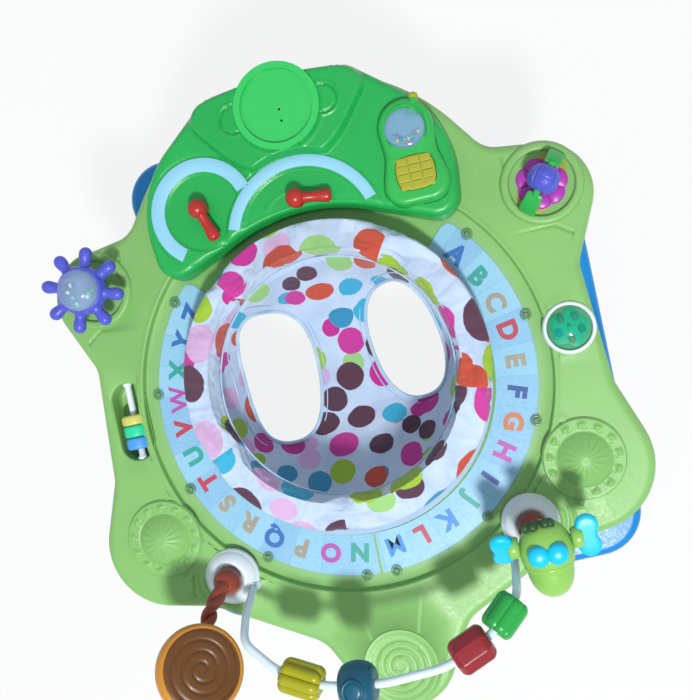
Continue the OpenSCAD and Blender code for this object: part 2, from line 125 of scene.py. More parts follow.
def chain(circles, grow=0.0, chord=5.0, straight=14.0):
    """Points round a chain, in metres. Every grow gives the same number of points."""
    points = chain_corners(circles, grow, chord)
    base = chain_corners(circles, 0, chord)
    filled = []
    for i, p in enumerate(points):
        following = (i + 1) % len(points)
        q = points[following]
        cuts = max(1, round(math.dist(base[i], base[following]) / straight))
        filled += [(p[0] + (q[0] - p[0]) * k / cuts, p[1] + (q[1] - p[1]) * k / cuts) for k in range(cuts)]
    return np.array(filled) * MM


def ring2d(centre, radius, count=96):
    a = np.arange(count) * TAU / count
    return np.c_[centre[0] + radius * np.cos(a), centre[1] + radius * np.sin(a)]


def inside(points, loop):
    """Even-odd test of many points against one closed loop."""
    x, y = points[:, 0], points[:, 1]
    odd = np.zeros(len(points), bool)
    for (ax, ay), (bx, by) in zip(loop, np.roll(loop, -1, axis=0)):
        crosses = (ay > y) != (by > y)
        with np.errstate(divide="ignore", invalid="ignore"):
            at = (bx - ax) * (y - ay) / (by - ay) + ax
        odd ^= crosses & (x < at)
    return odd


def distance_to(points, loop):
    """How far each point is from the nearest point of a loop."""
    tree = KDTree(len(loop))
    for i, p in enumerate(loop):
        tree.insert((p[0], p[1], 0), i)
    tree.balance()
    return np.array([tree.find((p[0], p[1], 0))[2] for p in points])


# ---------------------------------------------------------------- mesh building


def add_object(name, data):
    obj = bpy.data.objects.new(name, data)
    bpy.context.scene.collection.objects.link(obj)
    return obj


class Shell:
    """Collects vertices and faces, then becomes one object."""

    def __init__(self):
        self.verts = []
        self.faces = []
        self.marks = []
        self.mark = 0

    def add(self, points):
        start = len(self.verts)
        self.verts += [tuple(map(float, p)) for p in points]
        return start

    def face(self, corners):
        self.faces.append(tuple(corners))
        self.marks.append(self.mark)

    def loft(self, rings, closed=True, cap_start=False, cap_end=False, loop=False):
        """Quads between rings that have equal counts of points."""
        starts = [self.add(r) for r in rings]
        n = len(rings[0])
        pairs = list(zip(starts, starts[1:]))
        if loop:
            pairs.append((starts[-1], starts[0]))
        for a, b in pairs:
            for k in range(n if closed else n - 1):
                j = (k + 1) % n
                self.face((a + k, a + j, b + j, b + k))
        if cap_start:
            self.face([starts[0] + k for k in reversed(range(n))])
        if cap_end:
            self.face([starts[-1] + k for k in range(n)])

    def outline(self, circles, steps, chord=5.0, straight=14.0, **caps):
        """Lofts a chain outline through (grow in mm, height in m) steps."""
        rings = []
        for grow, z in steps:
            loop = chain(circles, grow, chord, straight)
            rings.append(np.c_[loop, np.full(len(loop), z)])
        self.loft(rings, **caps)

    def follow(self, height, top, reach):
        """Lifts the points near the top so that they follow a height function."""
        points = np.array(self.verts)
        share = smoothstep(top - reach, top - reach / 7, points[:, 2])
        points[:, 2] += (height(points[:, :2]) - top) * share
        self.verts = [tuple(p) for p in points]

    def lathe(self, profile, centre=(0, 0, 0), count=64, place=None, **caps):
        """Turns (radius, height) steps about an upright axis, or about place's own Z axis."""
        rings = []
        for radius, z in profile:
            loop = ring2d((0, 0), radius, count)
            ring = [Vector((x, y, z)) for x, y in loop]
            rings.append([place @ p if place else p + Vector(centre) for p in ring])
        self.loft(rings, **caps)

    def tube(self, path, radius, sides=16, caps=True, closed=False):
        """Sweeps a circle along a path; radius is a number or one for each point."""
        path = [Vector(p) for p in path]
        radii = radius if hasattr(radius, "__len__") else [radius] * len(path)
        count = len(path)
        tangents = []
        for i in range(count):
            before = path[i - 1] if (i or closed) else path[0]
            after = path[(i + 1) % count] if (closed or i + 1 < count) else path[-1]
            tangents.append((after - before).normalized())
        across = tangents[0].orthogonal().normalized()
        rings = []
        for p, t, r in zip(path, tangents, radii):
            across = (across - t * across.dot(t)).normalized()
            other = t.cross(across)
            rings.append([
                p + (across * math.cos(a) + other * math.sin(a)) * r
                for a in (TAU * k / sides for k in range(sides))])
        self.loft(rings, cap_start=caps and not closed, cap_end=caps and not closed, loop=closed)

    def piece(self, name, body, materials, replaces=(), slot=None, smooth=40, weld=0.02 * MM):
        mesh = bpy.data.meshes.new(name)
        mesh.from_pydata(self.verts, [], self.faces)
        if not isinstance(materials, (list, tuple)):
            materials = [materials]
        for m in materials:
            mesh.materials.append(m)
        mesh.polygons.foreach_set("material_index", self.marks)
        bm = bmesh.new()
        bm.from_mesh(mesh)
        bmesh.ops.remove_doubles(bm, verts=bm.verts, dist=weld)
        bmesh.ops.recalc_face_normals(bm, faces=bm.faces)
        # an open skin shows its upper side
        if sum(f.normal.z * f.calc_area() for f in bm.faces) < -0.1 * sum(f.calc_area() for f in bm.faces):
            bmesh.ops.reverse_faces(bm, faces=bm.faces)
        for f in bm.faces:
            f.smooth = True
        for e in bm.edges:
            if e.is_manifold and e.calc_face_angle(0) > math.radians(smooth):
                e.smooth = False
        bm.to_mesh(mesh)
        bm.free()
        obj = add_object(name, mesh)
        if replaces:
            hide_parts(*replaces)
        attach(obj, body)
        return obj


def in_mm(profile, base=0.0):
    """(radius, height) steps in millimetres over a base height, turned into metres."""
    return [(r * MM, base + z * MM) for r, z in profile]


def placed(place, x, y, z):
    """A ring of points, given in millimetres along place's own axes."""
    return [place @ (Vector(p) * MM) for p in np.broadcast(x, y, z)]


def quarter(steps, first=0):
    """Angles over a quarter turn."""
    return [math.pi / 2 * k / steps for k in range(first, steps + 1)]


def smoothstep(a, b, x):
    t = np.clip((x - a) / (b - a), 0, 1)
    return t * t * (3 - 2 * t)


def bump(distance, half_width):
    """1 on the line, easing to 0 at half_width either side."""
    return np.where(np.abs(distance) < half_width, np.cos(distance / half_width * math.pi / 2) ** 2, 0)


def radius_from(points, centre):
    return np.hypot(points[:, 0] - centre[0], points[:, 1] - centre[1])


def line_distance(points, a, b):
    a, b = np.array(a) * MM, np.array(b) * MM
    t = np.clip(((points - a) @ (b - a)) / ((b - a) @ (b - a)), 0, 1)
    nearest = a + t[:, None] * (b - a)
    return np.hypot(*(points - nearest).T)


def plate(shell, outer, holes, features, height, spacing=6.5, dense=()):
    """Triangulates the flat region between loops and lifts each vertex to height(points)."""
    loops = [outer, *holes, *features]
    fixed = np.concatenate(loops)
    lo, hi = outer.min(0), outer.max(0)
    grids = [(spacing, lo, hi, None)]
    grids += [(step, np.array(c) - r, np.array(c) + r, (c, r)) for c, r, step in dense]
    loose = []
    for step, a, b, disc in grids:
        xs, ys = np.arange(a[0], b[0], step), np.arange(a[1], b[1], step * 0.866)
        gx, gy = np.meshgrid(xs, ys)
        gx[1::2] += step / 2
        cloud = np.c_[gx.ravel(), gy.ravel()]
        if disc:
            cloud = cloud[radius_from(cloud, disc[0]) < disc[1]]
        else:
            for c, r, _ in dense:
                cloud = cloud[radius_from(cloud, c) > r]
        loose.append(cloud[distance_to(cloud, fixed) > step * 0.45])
    cloud = np.concatenate(loose)
    keep = inside(cloud, outer)
    for h in holes:
        keep &= ~inside(cloud, h)
    cloud = cloud[keep]
    points = np.concatenate([fixed, cloud])
    edges, start = [], 0
    for loop in loops:
        n = len(loop)
        edges += [(start + k, start + (k + 1) % n) for k in range(n)]
        start += n
    made = delaunay_2d_cdt([Vector(p) for p in points], edges, [], 0, 1e-7)
    flat = np.array([(v.x, v.y) for v in made[0]])
    triangles = np.array(made[2])
    centres = flat[triangles].mean(1)
    a, b = (flat[triangles[:, k]] - flat[triangles[:, 0]] for k in (1, 2))
    good = inside(centres, outer) & (np.abs(a[:, 0] * b[:, 1] - a[:, 1] * b[:, 0]) > 1e-9)
    for h in holes:
        good &= ~inside(centres, h)
    z = height(flat)
    base = shell.add(np.c_[flat, z])
    for t in triangles[good]:
        shell.face(tuple(int(k) + base for k in t))


def fillet(edge_grow, z_top, radius, steps=7):
    """(grow, height) steps over a rounded upper edge, from the flat outwards and down."""
    out = []
    for k in range(steps + 1):
        a = math.pi / 2 * k / steps
        out.append((edge_grow - radius * (1 - math.sin(a)), z_top - radius * MM * (1 - math.cos(a))))
    return out


# ---------------------------------------------------------------- materials


def srgb(red, green, blue):
    def linear(c):
        c /= 255
        return c / 12.92 if c < 0.04045 else ((c + 0.055) / 1.055) ** 2.4
    return (linear(red), linear(green), linear(blue), 1)


def shade(colour, factor):
    return tuple(min(1, c * factor) for c in colour[:3]) + (1,)


class Nodes:
    """A small helper that makes and joins shader nodes."""

    def __init__(self, name):
        self.material = bpy.data.materials.new(name)
        self.material.use_nodes = True
        self.tree = self.material.node_tree
        self.shader = self.tree.nodes["Principled BSDF"]
        self.place = self.new("ShaderNodeTexCoord").outputs["Object"]

    def new(self, kind, **values):
        node = self.tree.nodes.new(kind)
        for key, value in values.items():
            if hasattr(node, key):
                setattr(node, key, value)
            else:
                node.inputs[key.replace("_", " ")].default_value = value
        return node

    def join(self, source, target):
        self.tree.links.new(source, target)

    def noise(self, scale, detail=3.0, rough=0.5, source=None):
        node = self.new("ShaderNodeTexNoise", Scale=scale, Detail=detail, Roughness=rough)
        self.join(source or self.place, node.inputs["Vector"])
        return node.outputs["Fac"]

    def ramp(self, value, stops):
        node = self.new("ShaderNodeValToRGB")
        while len(node.color_ramp.elements) < len(stops):
            node.color_ramp.elements.new(0.5)
        for element, (position, colour) in zip(node.color_ramp.elements, stops):
            element.position = position
            element.color = colour
        self.join(value, node.inputs["Fac"])
        return node.outputs["Color"]

    def span(self, value, a, b, low_value, high_value):
        node = self.new("ShaderNodeMapRange")
        for key, v in (("From Min", a), ("From Max", b), ("To Min", low_value), ("To Max", high_value)):
            node.inputs[key].default_value = v
        self.join(value, node.inputs["Value"])
        return node.outputs["Result"]

    def math(self, operation, a, b=None, c=None):
        node = self.new("ShaderNodeMath", operation=operation)
        for socket, value in zip(node.inputs, (a, b, c)):
            if value is None:
                continue
            if isinstance(value, (int, float)):
                socket.default_value = value
            else:
                self.join(value, socket)
        return node.outputs[0]

    def mix(self, factor, a, b, kind="MIX"):
        node = self.new("ShaderNodeMix", data_type="RGBA", blend_type=kind)
        for socket, value in ((node.inputs[0], factor), (node.inputs[6], a), (node.inputs[7], b)):
            if isinstance(value, (int, float, tuple)):
                socket.default_value = value
            else:
                self.join(value, socket)
        return node.outputs[2]

    def colour(self, output):
        self.join(output, self.shader.inputs["Base Color"])

    def roughness(self, output):
        self.join(output, self.shader.inputs["Roughness"])

    def bump(self, height, distance, strength=1.0):
        node = self.new("ShaderNodeBump", Strength=strength, Distance=distance)
        self.join(height, node.inputs["Height"])
        if self.shader.inputs["Normal"].is_linked:
            self.join(self.shader.inputs["Normal"].links[0].from_socket, node.inputs["Normal"])
        self.join(node.outputs["Normal"], self.shader.inputs["Normal"])


def plastic(name, colour, rough=0.36, grain=1400, variation=0.06, wear=0.25):
    """Moulded plastic: slight clouding of colour, paler worn edges, fine grain, faint scuffs."""
    n = Nodes(name)
    cloud = n.noise(9, 4)
    tone = n.ramp(cloud, [
        (0.3, shade(colour, 1 - variation)), (0.7, shade(colour, 1 + variation))])
    edge = n.new("ShaderNodeNewGeometry").outputs["Pointiness"]
    worn = n.span(edge, 0.52, 0.62, 0, wear)
    patchy = n.math("MULTIPLY", worn, n.noise(55, 5, 0.6))
    n.colour(n.mix(patchy, tone, shade(colour, 1.7)))
    scuff = n.noise(240, 6, 0.65)
    n.roughness(n.span(scuff, 0.3, 0.7, rough - 0.07, rough + 0.09))
    n.bump(n.noise(grain, 2), 0.00003, 0.5)
    n.bump(n.noise(22, 2), 0.0005, 0.35)
    n.shader.inputs["Specular IOR Level"].default_value = 0.45
    return n.material


def clear(name, colour, alpha, rough=0.06):
    """Thin clear plastic, more solid where it is scuffed."""
    n = Nodes(name)
    n.colour(n.ramp(n.noise(14, 3), [(0.3, shade(colour, 0.94)), (0.7, colour)]))
    n.roughness(n.span(n.noise(180, 5), 0.35, 0.7, rough, rough + 0.12))
    n.join(n.span(n.noise(40, 4), 0.3, 0.75, alpha * 0.85, alpha * 1.2), n.shader.inputs["Alpha"])
    n.bump(n.noise(35, 2), 0.0004, 0.3)
    n.shader.inputs["Specular IOR Level"].default_value = 0.6
    return n.material


def rubber(name, colour):
    n = Nodes(name)
    n.colour(n.ramp(n.noise(60, 5, 0.6), [(0.3, shade(colour, 0.75)), (0.7, shade(colour, 1.25))]))
    n.roughness(n.span(n.noise(300, 3), 0.3, 0.7, 0.62, 0.85))
    n.bump(n.noise(900, 3), 0.0001, 0.7)
    return n.material


tray_green = plastic("tray_green", srgb(124, 176, 100), rough=0.42)
panel_green = plastic("panel_green", srgb(28, 162, 76), rough=0.33)
phone_green = plastic("phone_green", srgb(42, 168, 76), rough=0.33)
base_blue = plastic("base_blue", srgb(0, 130, 204), rough=0.33)
white = plastic("white_plastic", srgb(212, 222, 230), rough=0.33, variation=0.03)
# painted shade: the seat ring is white plastic under the seat's fabric skirt; it is given the colour of that
# fabric in shade
rim_painted_shade = plastic("rim_painted_shade", srgb(150, 174, 204), rough=0.5)
button_red = plastic("button_red", srgb(176, 48, 38))
lever_red = plastic("lever_red", srgb(168, 40, 34), rough=0.3)
grey = plastic("caster_grey", srgb(112, 116, 122), rough=0.5)
keypad_yellow = plastic("keypad_yellow", srgb(158, 158, 42), rough=0.42)
violet = plastic("rattle_violet", srgb(76, 84, 192), rough=0.34)
magenta = plastic("flower_magenta", srgb(170, 52, 172), rough=0.34)
cyan = plastic("wing_cyan", srgb(0, 186, 228), rough=0.34)
stem_brown = plastic("stem_brown", srgb(134, 56, 40), rough=0.32)
lolly_brown = plastic("lolly_brown", srgb(99, 60, 21), rough=0.4)
lolly_gold = plastic("lolly_gold", srgb(188, 128, 40), rough=0.34)
yellow = plastic("bead_yellow", srgb(156, 154, 14), rough=0.33)
blue = plastic("bead_blue", srgb(0, 80, 106), rough=0.33)
red = plastic("bead_red", srgb(136, 28, 38), rough=0.3)
green = plastic("bead_green", srgb(32, 154, 64), rough=0.33)
ring_yellow = plastic("ring_yellow", srgb(198, 194, 98), rough=0.36)
ring_teal = plastic("ring_teal", srgb(34, 200, 150), rough=0.36)
ring_blue = plastic("ring_blue", srgb(72, 148, 220), rough=0.36)
cover_clear = clear("cover_clear", srgb(206, 226, 240), 0.04)
dome_clear = clear("dome_clear", srgb(190, 214, 250), 0.34)
dome_teal = clear("dome_teal", srgb(0, 176, 140), 0.5)
window_blue = clear("window_blue", srgb(150, 200, 235), 0.35)
rod_grey = plastic("rod_grey", srgb(90, 100, 96), rough=0.4)
scale_white = plastic("scale_white", srgb(136, 194, 222), rough=0.5, grain=700, variation=0.03)
screen_blue = plastic("screen_blue", srgb(110, 150, 178), rough=0.4)
rattle_floor = plastic("rattle_floor", srgb(70, 110, 150), rough=0.4)
pod_green = plastic("pod_green", srgb(132, 184, 86), rough=0.3)
tuft_green = plastic("tuft_green", srgb(34, 72, 40), rough=0.45)
screw_grey = plastic("screw_grey", srgb(90, 130, 96), rough=0.3)
wire_white = plastic("wire_white", srgb(204, 222, 232), rough=0.3, variation=0.03)
ink_blue = plastic("ink_blue", srgb(10, 92, 170), rough=0.4)
ink_teal = plastic("ink_teal", srgb(20, 146, 136), rough=0.4)
ink_tan = plastic("ink_tan", srgb(146, 138, 122), rough=0.4)
ink_crimson = plastic("ink_crimson", srgb(172, 34, 62), rough=0.4)
ink_navy = plastic("ink_navy", srgb(12, 60, 136), rough=0.4)
ink_orange = plastic("ink_orange", srgb(184, 104, 50), rough=0.4)
ink_magenta = plastic("ink_magenta", srgb(166, 56, 156), rough=0.4)
ink_cyan = plastic("ink_cyan", srgb(4, 122, 200), rough=0.4)
tab_clear = clear("tab_clear", srgb(96, 150, 90), 0.5)
pad_rubber = rubber("pad_rubber", srgb(62, 62, 66))
wheel_rubber = rubber("wheel_rubber", srgb(170, 174, 180))


def card_material():
    """Glossy printed card: one faint tint for each letter's panel, with thin lines between."""
    n = Nodes("printed_card")
    parts = n.new("ShaderNodeSeparateXYZ")
    n.join(n.place, parts.inputs[0])
    angle = n.math("ARCTAN2", parts.outputs["Y"], parts.outputs["X"])
    panel = n.math("MULTIPLY", angle, 360 / TAU / LETTER_STEP)
    panel = n.math("ADD", panel, 0.87)
    index = n.math("FLOOR", panel)
    random_tint = n.new("ShaderNodeTexWhiteNoise", noise_dimensions="1D")
    n.join(index, random_tint.inputs["W"])
    tint = n.ramp(random_tint.outputs["Value"], [
        (0.0, srgb(122, 176, 214)), (0.5, srgb(132, 188, 220)), (1.0, srgb(142, 196, 222))])
    cloud = n.mix(n.span(n.noise(30, 4), 0.3, 0.7, 0, 0.25), tint, srgb(156, 202, 226))
    line = n.math("SUBTRACT", panel, index)
    line = n.math("ABSOLUTE", n.math("SUBTRACT", line, 0.5))
    line = n.math("GREATER_THAN", line, 0.485)
    n.colour(n.mix(n.math("MULTIPLY", line, 0.3), cloud, srgb(90, 140, 186)))
    n.roughness(n.span(n.noise(200, 4), 0.3, 0.7, 0.22, 0.34))
    n.bump(n.noise(18, 2), 0.0004, 0.3)
    return n.material


printed_card = card_material()


DOT_INKS = (
    (186, 36, 140), (48, 166, 206), (82, 46, 68), (190, 72, 50), (148, 186, 46),
    (206, 168, 212), (148, 200, 122), (44, 138, 182), (192, 50, 148), (78, 46, 70))


def dot_layer(n, flat, cell, seed, smallest, largest, share):
    """Round printed dots: gives (where they are, their colour). About share of the cells have one."""
    offset = n.new("ShaderNodeVectorMath", operation="ADD")
    n.join(flat, offset.inputs[0])
    offset.inputs[1].default_value = (seed, seed * 0.37, 0)
    cells, room = (
        n.new("ShaderNodeTexVoronoi", voronoi_dimensions="2D", feature=f, Scale=1000 / cell, Randomness=0.55)
        for f in ("F1", "N_SPHERE_RADIUS"))
    for v in (cells, room):
        n.join(offset.outputs[0], v.inputs["Vector"])
    pick = n.new("ShaderNodeSeparateColor")
    n.join(cells.outputs["Color"], pick.inputs[0])
    wish = n.span(pick.outputs["Green"], 0, 1, smallest, largest)
    size = n.math("MINIMUM", wish, n.math("MULTIPLY", room.outputs["Radius"], 1.02))
    edge = n.math("SUBTRACT", size, cells.outputs["Distance"])
    dot = n.span(edge, 0.0, 0.02, 0, 1)
    dot = n.math("MULTIPLY", dot, n.math("LESS_THAN", pick.outputs["Blue"], share))
    node = n.new("ShaderNodeValToRGB")
    node.color_ramp.interpolation = "CONSTANT"
    while len(node.color_ramp.elements) < len(DOT_INKS):
        node.color_ramp.elements.new(0.5)
    for i, (element, ink) in enumerate(zip(node.color_ramp.elements, DOT_INKS)):
        element.position = i / len(DOT_INKS)
        element.color = srgb(*ink)
    n.join(pick.outputs["Red"], node.inputs["Fac"])
    return dot, node.outputs["Color"]


def dotted_fabric(name, cell, seed):
    """Woven cotton printed with dots that touch and overlap, in the fabric's own flat coordinates."""
    n = Nodes(name)
    flat = n.new("ShaderNodeUVMap", uv_map="cloth").outputs["UV"]
    wobble = n.new("ShaderNodeTexNoise", Scale=45.0, Detail=2.0)
    n.join(flat, wobble.inputs["Vector"])
    shift = n.new("ShaderNodeVectorMath", operation="SCALE")
    n.join(wobble.outputs["Color"], shift.inputs[0])
    shift.inputs["Scale"].default_value = 0.004
    moved = n.new("ShaderNodeVectorMath", operation="ADD")
    n.join(flat, moved.inputs[0])
    n.join(shift.outputs[0], moved.inputs[1])
    ground = n.ramp(n.noise(30, 3), [(0.3, srgb(176, 198, 228)), (0.7, srgb(196, 213, 238))])
    printed = ground
    for layer in ((cell * 0.9, seed + 3.3, 0.28, 0.4, 0.35), (cell, seed, 0.35, 0.46, 0.96)):
        dot, ink = dot_layer(n, moved.outputs[0], *layer)
        printed = n.mix(dot, printed, ink)
    threads = []
    for direction in ("X", "Y"):
        wave = n.new(
            "ShaderNodeTexWave", bands_direction=direction, Scale=520.0, Distortion=1.2, Detail=1.0)
        n.join(flat, wave.inputs["Vector"])
        threads.append(wave.outputs["Fac"])
    weave = n.math("MAXIMUM", *threads)
    n.colour(
        n.mix(0.10, printed, n.ramp(weave, [(0.2, (0.35, 0.35, 0.38, 1)), (0.8, (1, 1, 1, 1))]), "MULTIPLY"))
    n.roughness(n.span(n.noise(400, 3), 0.3, 0.7, 0.72, 0.9))
    n.bump(weave, 0.00025, 0.6)
    n.bump(n.noise(70, 4, 0.55), 0.0016, 0.5)
    n.shader.inputs["Sheen Weight"].default_value = 0.2
    n.shader.inputs["Sheen Roughness"].default_value = 0.5
    return n.material


pad_cloth = dotted_fabric("pad_cloth", 55.0, 0.31)
bucket_cloth = dotted_fabric("bucket_cloth", 47.0, 1.7)


def binding_material():
    n = Nodes("binding")
    n.colour(n.ramp(n.noise(50, 3), [(0.3, srgb(158, 190, 218)), (0.7, srgb(186, 210, 230))]))
    n.roughness(n.span(n.noise(300, 3), 0.3, 0.7, 0.7, 0.88))
    wave = n.new("ShaderNodeTexWave", Scale=260.0, Distortion=2.0)
    n.join(n.place, wave.inputs["Vector"])
    n.bump(wave.outputs["Fac"], 0.0003, 0.6)
    n.shader.inputs["Sheen Weight"].default_value = 0.2
    return n.material


binding = binding_material()

# ---------------------------------------------------------------- tray


def at(node):
    m = mid(node)
    return (m.x, m.y)


RATTLE = at("rattle_post")
FLOWER = at("flower_spinner")
DOME = at("dome_ring")
DIALS = [at("clicker_dial_left"), at("clicker_dial_right")]
SLOT = at("slot_pan")
SLOT_LENGTH = 54 * MM                # between the centres of the slot's round ends
CUPS = [(low("toy_cups").x + 31 * MM, mid("toy_cups").y), (high("toy_cups").x - 31 * MM, mid("toy_cups").y)]


def stadium(centre, radius, apart, count=20):
    half = apart / 2
    a = np.arange(count + 1) * math.pi / count
    top = np.c_[radius * np.cos(a), half + radius * np.sin(a)]
    return np.concatenate([top, -top]) + np.array(centre)


def spiral_ridge(points, centre, pitch, reach):
    r = radius_from(points, centre)
    a = np.arctan2(points[:, 1] - centre[1], points[:, 0] - centre[0])
    phase = (r / pitch + a / TAU) % 1
    return bump(phase - 0.5, 0.33) * smoothstep(reach, reach * 0.9, r) * smoothstep(pitch * 0.5, pitch, r)


def tray_height(p):
    z = np.full(len(p), TOP)
    for c in DIALS:
        r = radius_from(p, c)
        z += -1.8 * MM * bump(r - 50.5 * MM, 2.6 * MM) + 1.6 * MM * bump(r - 55 * MM, 4 * MM)
    for c in CUPS:
        r = radius_from(p, c)
        z += 2.6 * MM * bump(r - 37 * MM, 4.5 * MM) + 1.4 * MM * bump(r - 46 * MM, 3 * MM)
    r = radius_from(p, DOME)
    z += 1.8 * MM * bump(r - 34 * MM, 5 * MM)
    for side in (-1, 1):
        for a, b in (((305, 107), (275, 128)), ((233, 226), (235, 202)), ((228, -186), (233, -216))):
            d = line_distance(p, (side * a[0], a[1]), (side * b[0], b[1]))
            z -= 2.0 * MM * bump(d, 2.4 * MM)
        d = line_distance(p, (side * 281, -36), (side * 284, -92))
        z += 1.3 * MM * bump(d, 4 * MM)
    slot_loop = stadium(SLOT, 20 * MM, SLOT_LENGTH, 60)
    near = distance_to(p, slot_loop)
    z += 1.8 * MM * bump(near - 6 * MM, 4 * MM)
    r = radius_from(p, BOSS)
    z += 16 * MM * smoothstep(47.5 * MM, 43 * MM, r) - 1.6 * MM * smoothstep(41 * MM, 36 * MM, r)
    z += 1.5 * MM * spiral_ridge(p, BOSS, 8.5 * MM, 35 * MM)
    z -= 1.0 * MM * bump(r - 50.5 * MM, 3 * MM)
    return z


# Section of the raised ring round the rattle and the flower: (radius, height), in millimetres
RING_SEAT = [
    (49.5, -9), (48.2, -4), (47.4, -0.8), (46.4, 1.2), (45.6, 3.4), (44.4, 4.7), (42.6, 5.2), (39.2, 5.2),
    (37.8, 4.9), (37.0, 4.0), (36.6, 2.4), (36.3, 0.9), (35.4, 0.35), (34, 0.3), (20, 0.3), (15, 0.3)]


def make_tray():
    s = Shell()
    seam = TOP - 33 * MM
    steps = [(-13, TOP)] + fillet(0, TOP, 10)
    steps += [
        (0, seam + 1.5 * MM), (-1.4, seam + 0.6 * MM), (-1.4, seam - 0.6 * MM), (0, seam - 1.5 * MM),
        (-0.6, SKIRT + 3 * MM), (-1.4, SKIRT + 0.8 * MM), (-3, SKIRT), (-4.6, SKIRT + 0.8 * MM),
        (-5, SKIRT + 8 * MM)]
    s.outline(TRAY_CHAIN, steps)
    s.follow(tray_height, TOP, 12 * MM)
    profile = [
        (252, 0), (250, 0.2), (248, 0.8), (246.4, 1.1), (245, 0.8), (244.2, -0.2), (243.8, -2), (243.4, -5.5),
        (242.9, -7.4), (241.8, -8), (228, -8), (205, -8), (180, -8), (177.4, -8), (176.5, -7.4), (176, -6),
        (175.7, -1.4), (175.1, -0.4), (174, 0), (166, 0), (162, -0.1), (160.6, -0.7), (160, -2),
        (160, -20), (160, -40), (160, -50), (163, -50), (165, -49), (165, -40)]
    s.lathe(in_mm(profile, TOP), count=288)
    circles = []
    for c in (RATTLE, FLOWER):
        s.lathe(in_mm(RING_SEAT, TOP), (*c, 0), 120)
    for c in DIALS:
        circles += [ring2d(c, r * MM, 120) for r in (47.9, 49.3, 50.5, 51.7, 53.1, 55, 57, 59)]
    for c in CUPS:
        circles += [ring2d(c, r * MM, 90) for r in (32.5, 34.7, 37, 39.3, 41.5)]
    circles += [ring2d(DOME, r * MM, 90) for r in (29, 31.5, 34, 36.5)]
    circles += [ring2d(BOSS, r * MM, 130) for r in (36, 38.5, 41, 43, 44.2, 45.4, 46.6, 47.8, 50.5, 53)]
    domain = chain(TRAY_CHAIN, -13)
    features = []
    for loop in circles:
        inner_ok = np.hypot(*loop.T).min() > 252.5 * MM
        if inner_ok and inside(loop, domain).all():
            features.append(loop)
    hole = stadium(SLOT, 22.5 * MM, SLOT_LENGTH, 24)
    plate(s, domain, [ring2d((0, 0), 252 * MM, 288), hole], features, tray_height,
          dense=[(tuple(BOSS[:2]), 35 * MM, 1.7 * MM)] + [(c, 32 * MM, 3 * MM) for c in DIALS]
          + [((side * x * MM, y * MM), 17 * MM, 1.6 * MM) for side in (-1, 1)
             for x, y in ((290, 118), (234, 214), (230, -201))])
    rim = tray_height(hole)
    rings = [np.c_[hole, rim]]
    for grow, drop in ((21.6, 0.3), (21.0, 1.2), (20.7, 3.0)):
        rings.append(np.c_[stadium(SLOT, grow * MM, SLOT_LENGTH, 24), np.full(len(hole), TOP - drop * MM)])
    s.loft(rings)
    return s.piece("tray_shell", "tray", tray_green, ["tray_top"], "tray_green", smooth=50)


make_tray()

# ---------------------------------------------------------------- play panel

LEFT_DIAL = (-111 * MM, 232 * MM)
RIGHT_DIAL = (2 * MM, 178 * MM)
DISC = at("toy_station")
WINDOW = at("phone_window")
KEYPAD = at("phone_keypad")
PAD_X, PAD_Y = 22.6 * MM, 19.6 * MM     # half sizes of the keypad's opening
EARS = ((DISC[0] - 52 * MM, 323.5 * MM), (DISC[0] + 53 * MM, 321.5 * MM))


def station_rise(p):
    """0 on the panel, 1 on the raised station; the two scales cut into its lower side."""
    station = chain(STATION_CHAIN, 0, 2.5, 4)
    near = distance_to(p, station)
    near = np.where(inside(p, station), near, -near)
    rise = smoothstep(-3.5 * MM, 4.5 * MM, near)
    rise *= smoothstep(92 * MM, 98 * MM, radius_from(p, RIGHT_DIAL))
    return rise * smoothstep(63 * MM, 69 * MM, radius_from(p, LEFT_DIAL))


def panel_height(p):
    rise = station_rise(p)
    z = PANEL + 12 * MM * rise
    disc = radius_from(p, DISC)
    for centre in EARS:
        ear = radius_from(p, centre)
        clear_of_disc = smoothstep(50 * MM, 52 * MM, disc) * rise
        z += 1.2 * MM * bump(ear - 18.6 * MM, 2.2 * MM) * clear_of_disc
        z -= 2.0 * MM * bump(ear - 15.4 * MM, 1.8 * MM) * clear_of_disc
    z += 1.0 * MM * bump(disc - 54 * MM, 3.4 * MM) * rise
    z -= 14 * MM * smoothstep(48.5 * MM, 46.5 * MM, disc)
    seat = radius_from(p, (0, 0))
    left = radius_from(p, LEFT_DIAL)
    right = radius_from(p, RIGHT_DIAL)
    outside_right = smoothstep(93 * MM, 96 * MM, right)
    outside_left = smoothstep(63 * MM, 65 * MM, left)
    z -= 1.4 * MM * bump(left - 65 * MM, 2.2 * MM) * outside_right
    z -= 1.4 * MM * bump(right - 94.4 * MM, 2.2 * MM) * np.maximum(outside_left,
        smoothstep(222 * MM, 216 * MM, seat))
    z -= 2.4 * MM * smoothstep(46 * MM, 44 * MM, left) * outside_right
    z -= 2.4 * MM * smoothstep(77.5 * MM, 75.5 * MM, right) * smoothstep(212 * MM, 216 * MM, seat)
    z += 1.0 * MM * bump(right - 56 * MM, 2.2 * MM) * smoothstep(214 * MM, 219 * MM, seat)
    return z


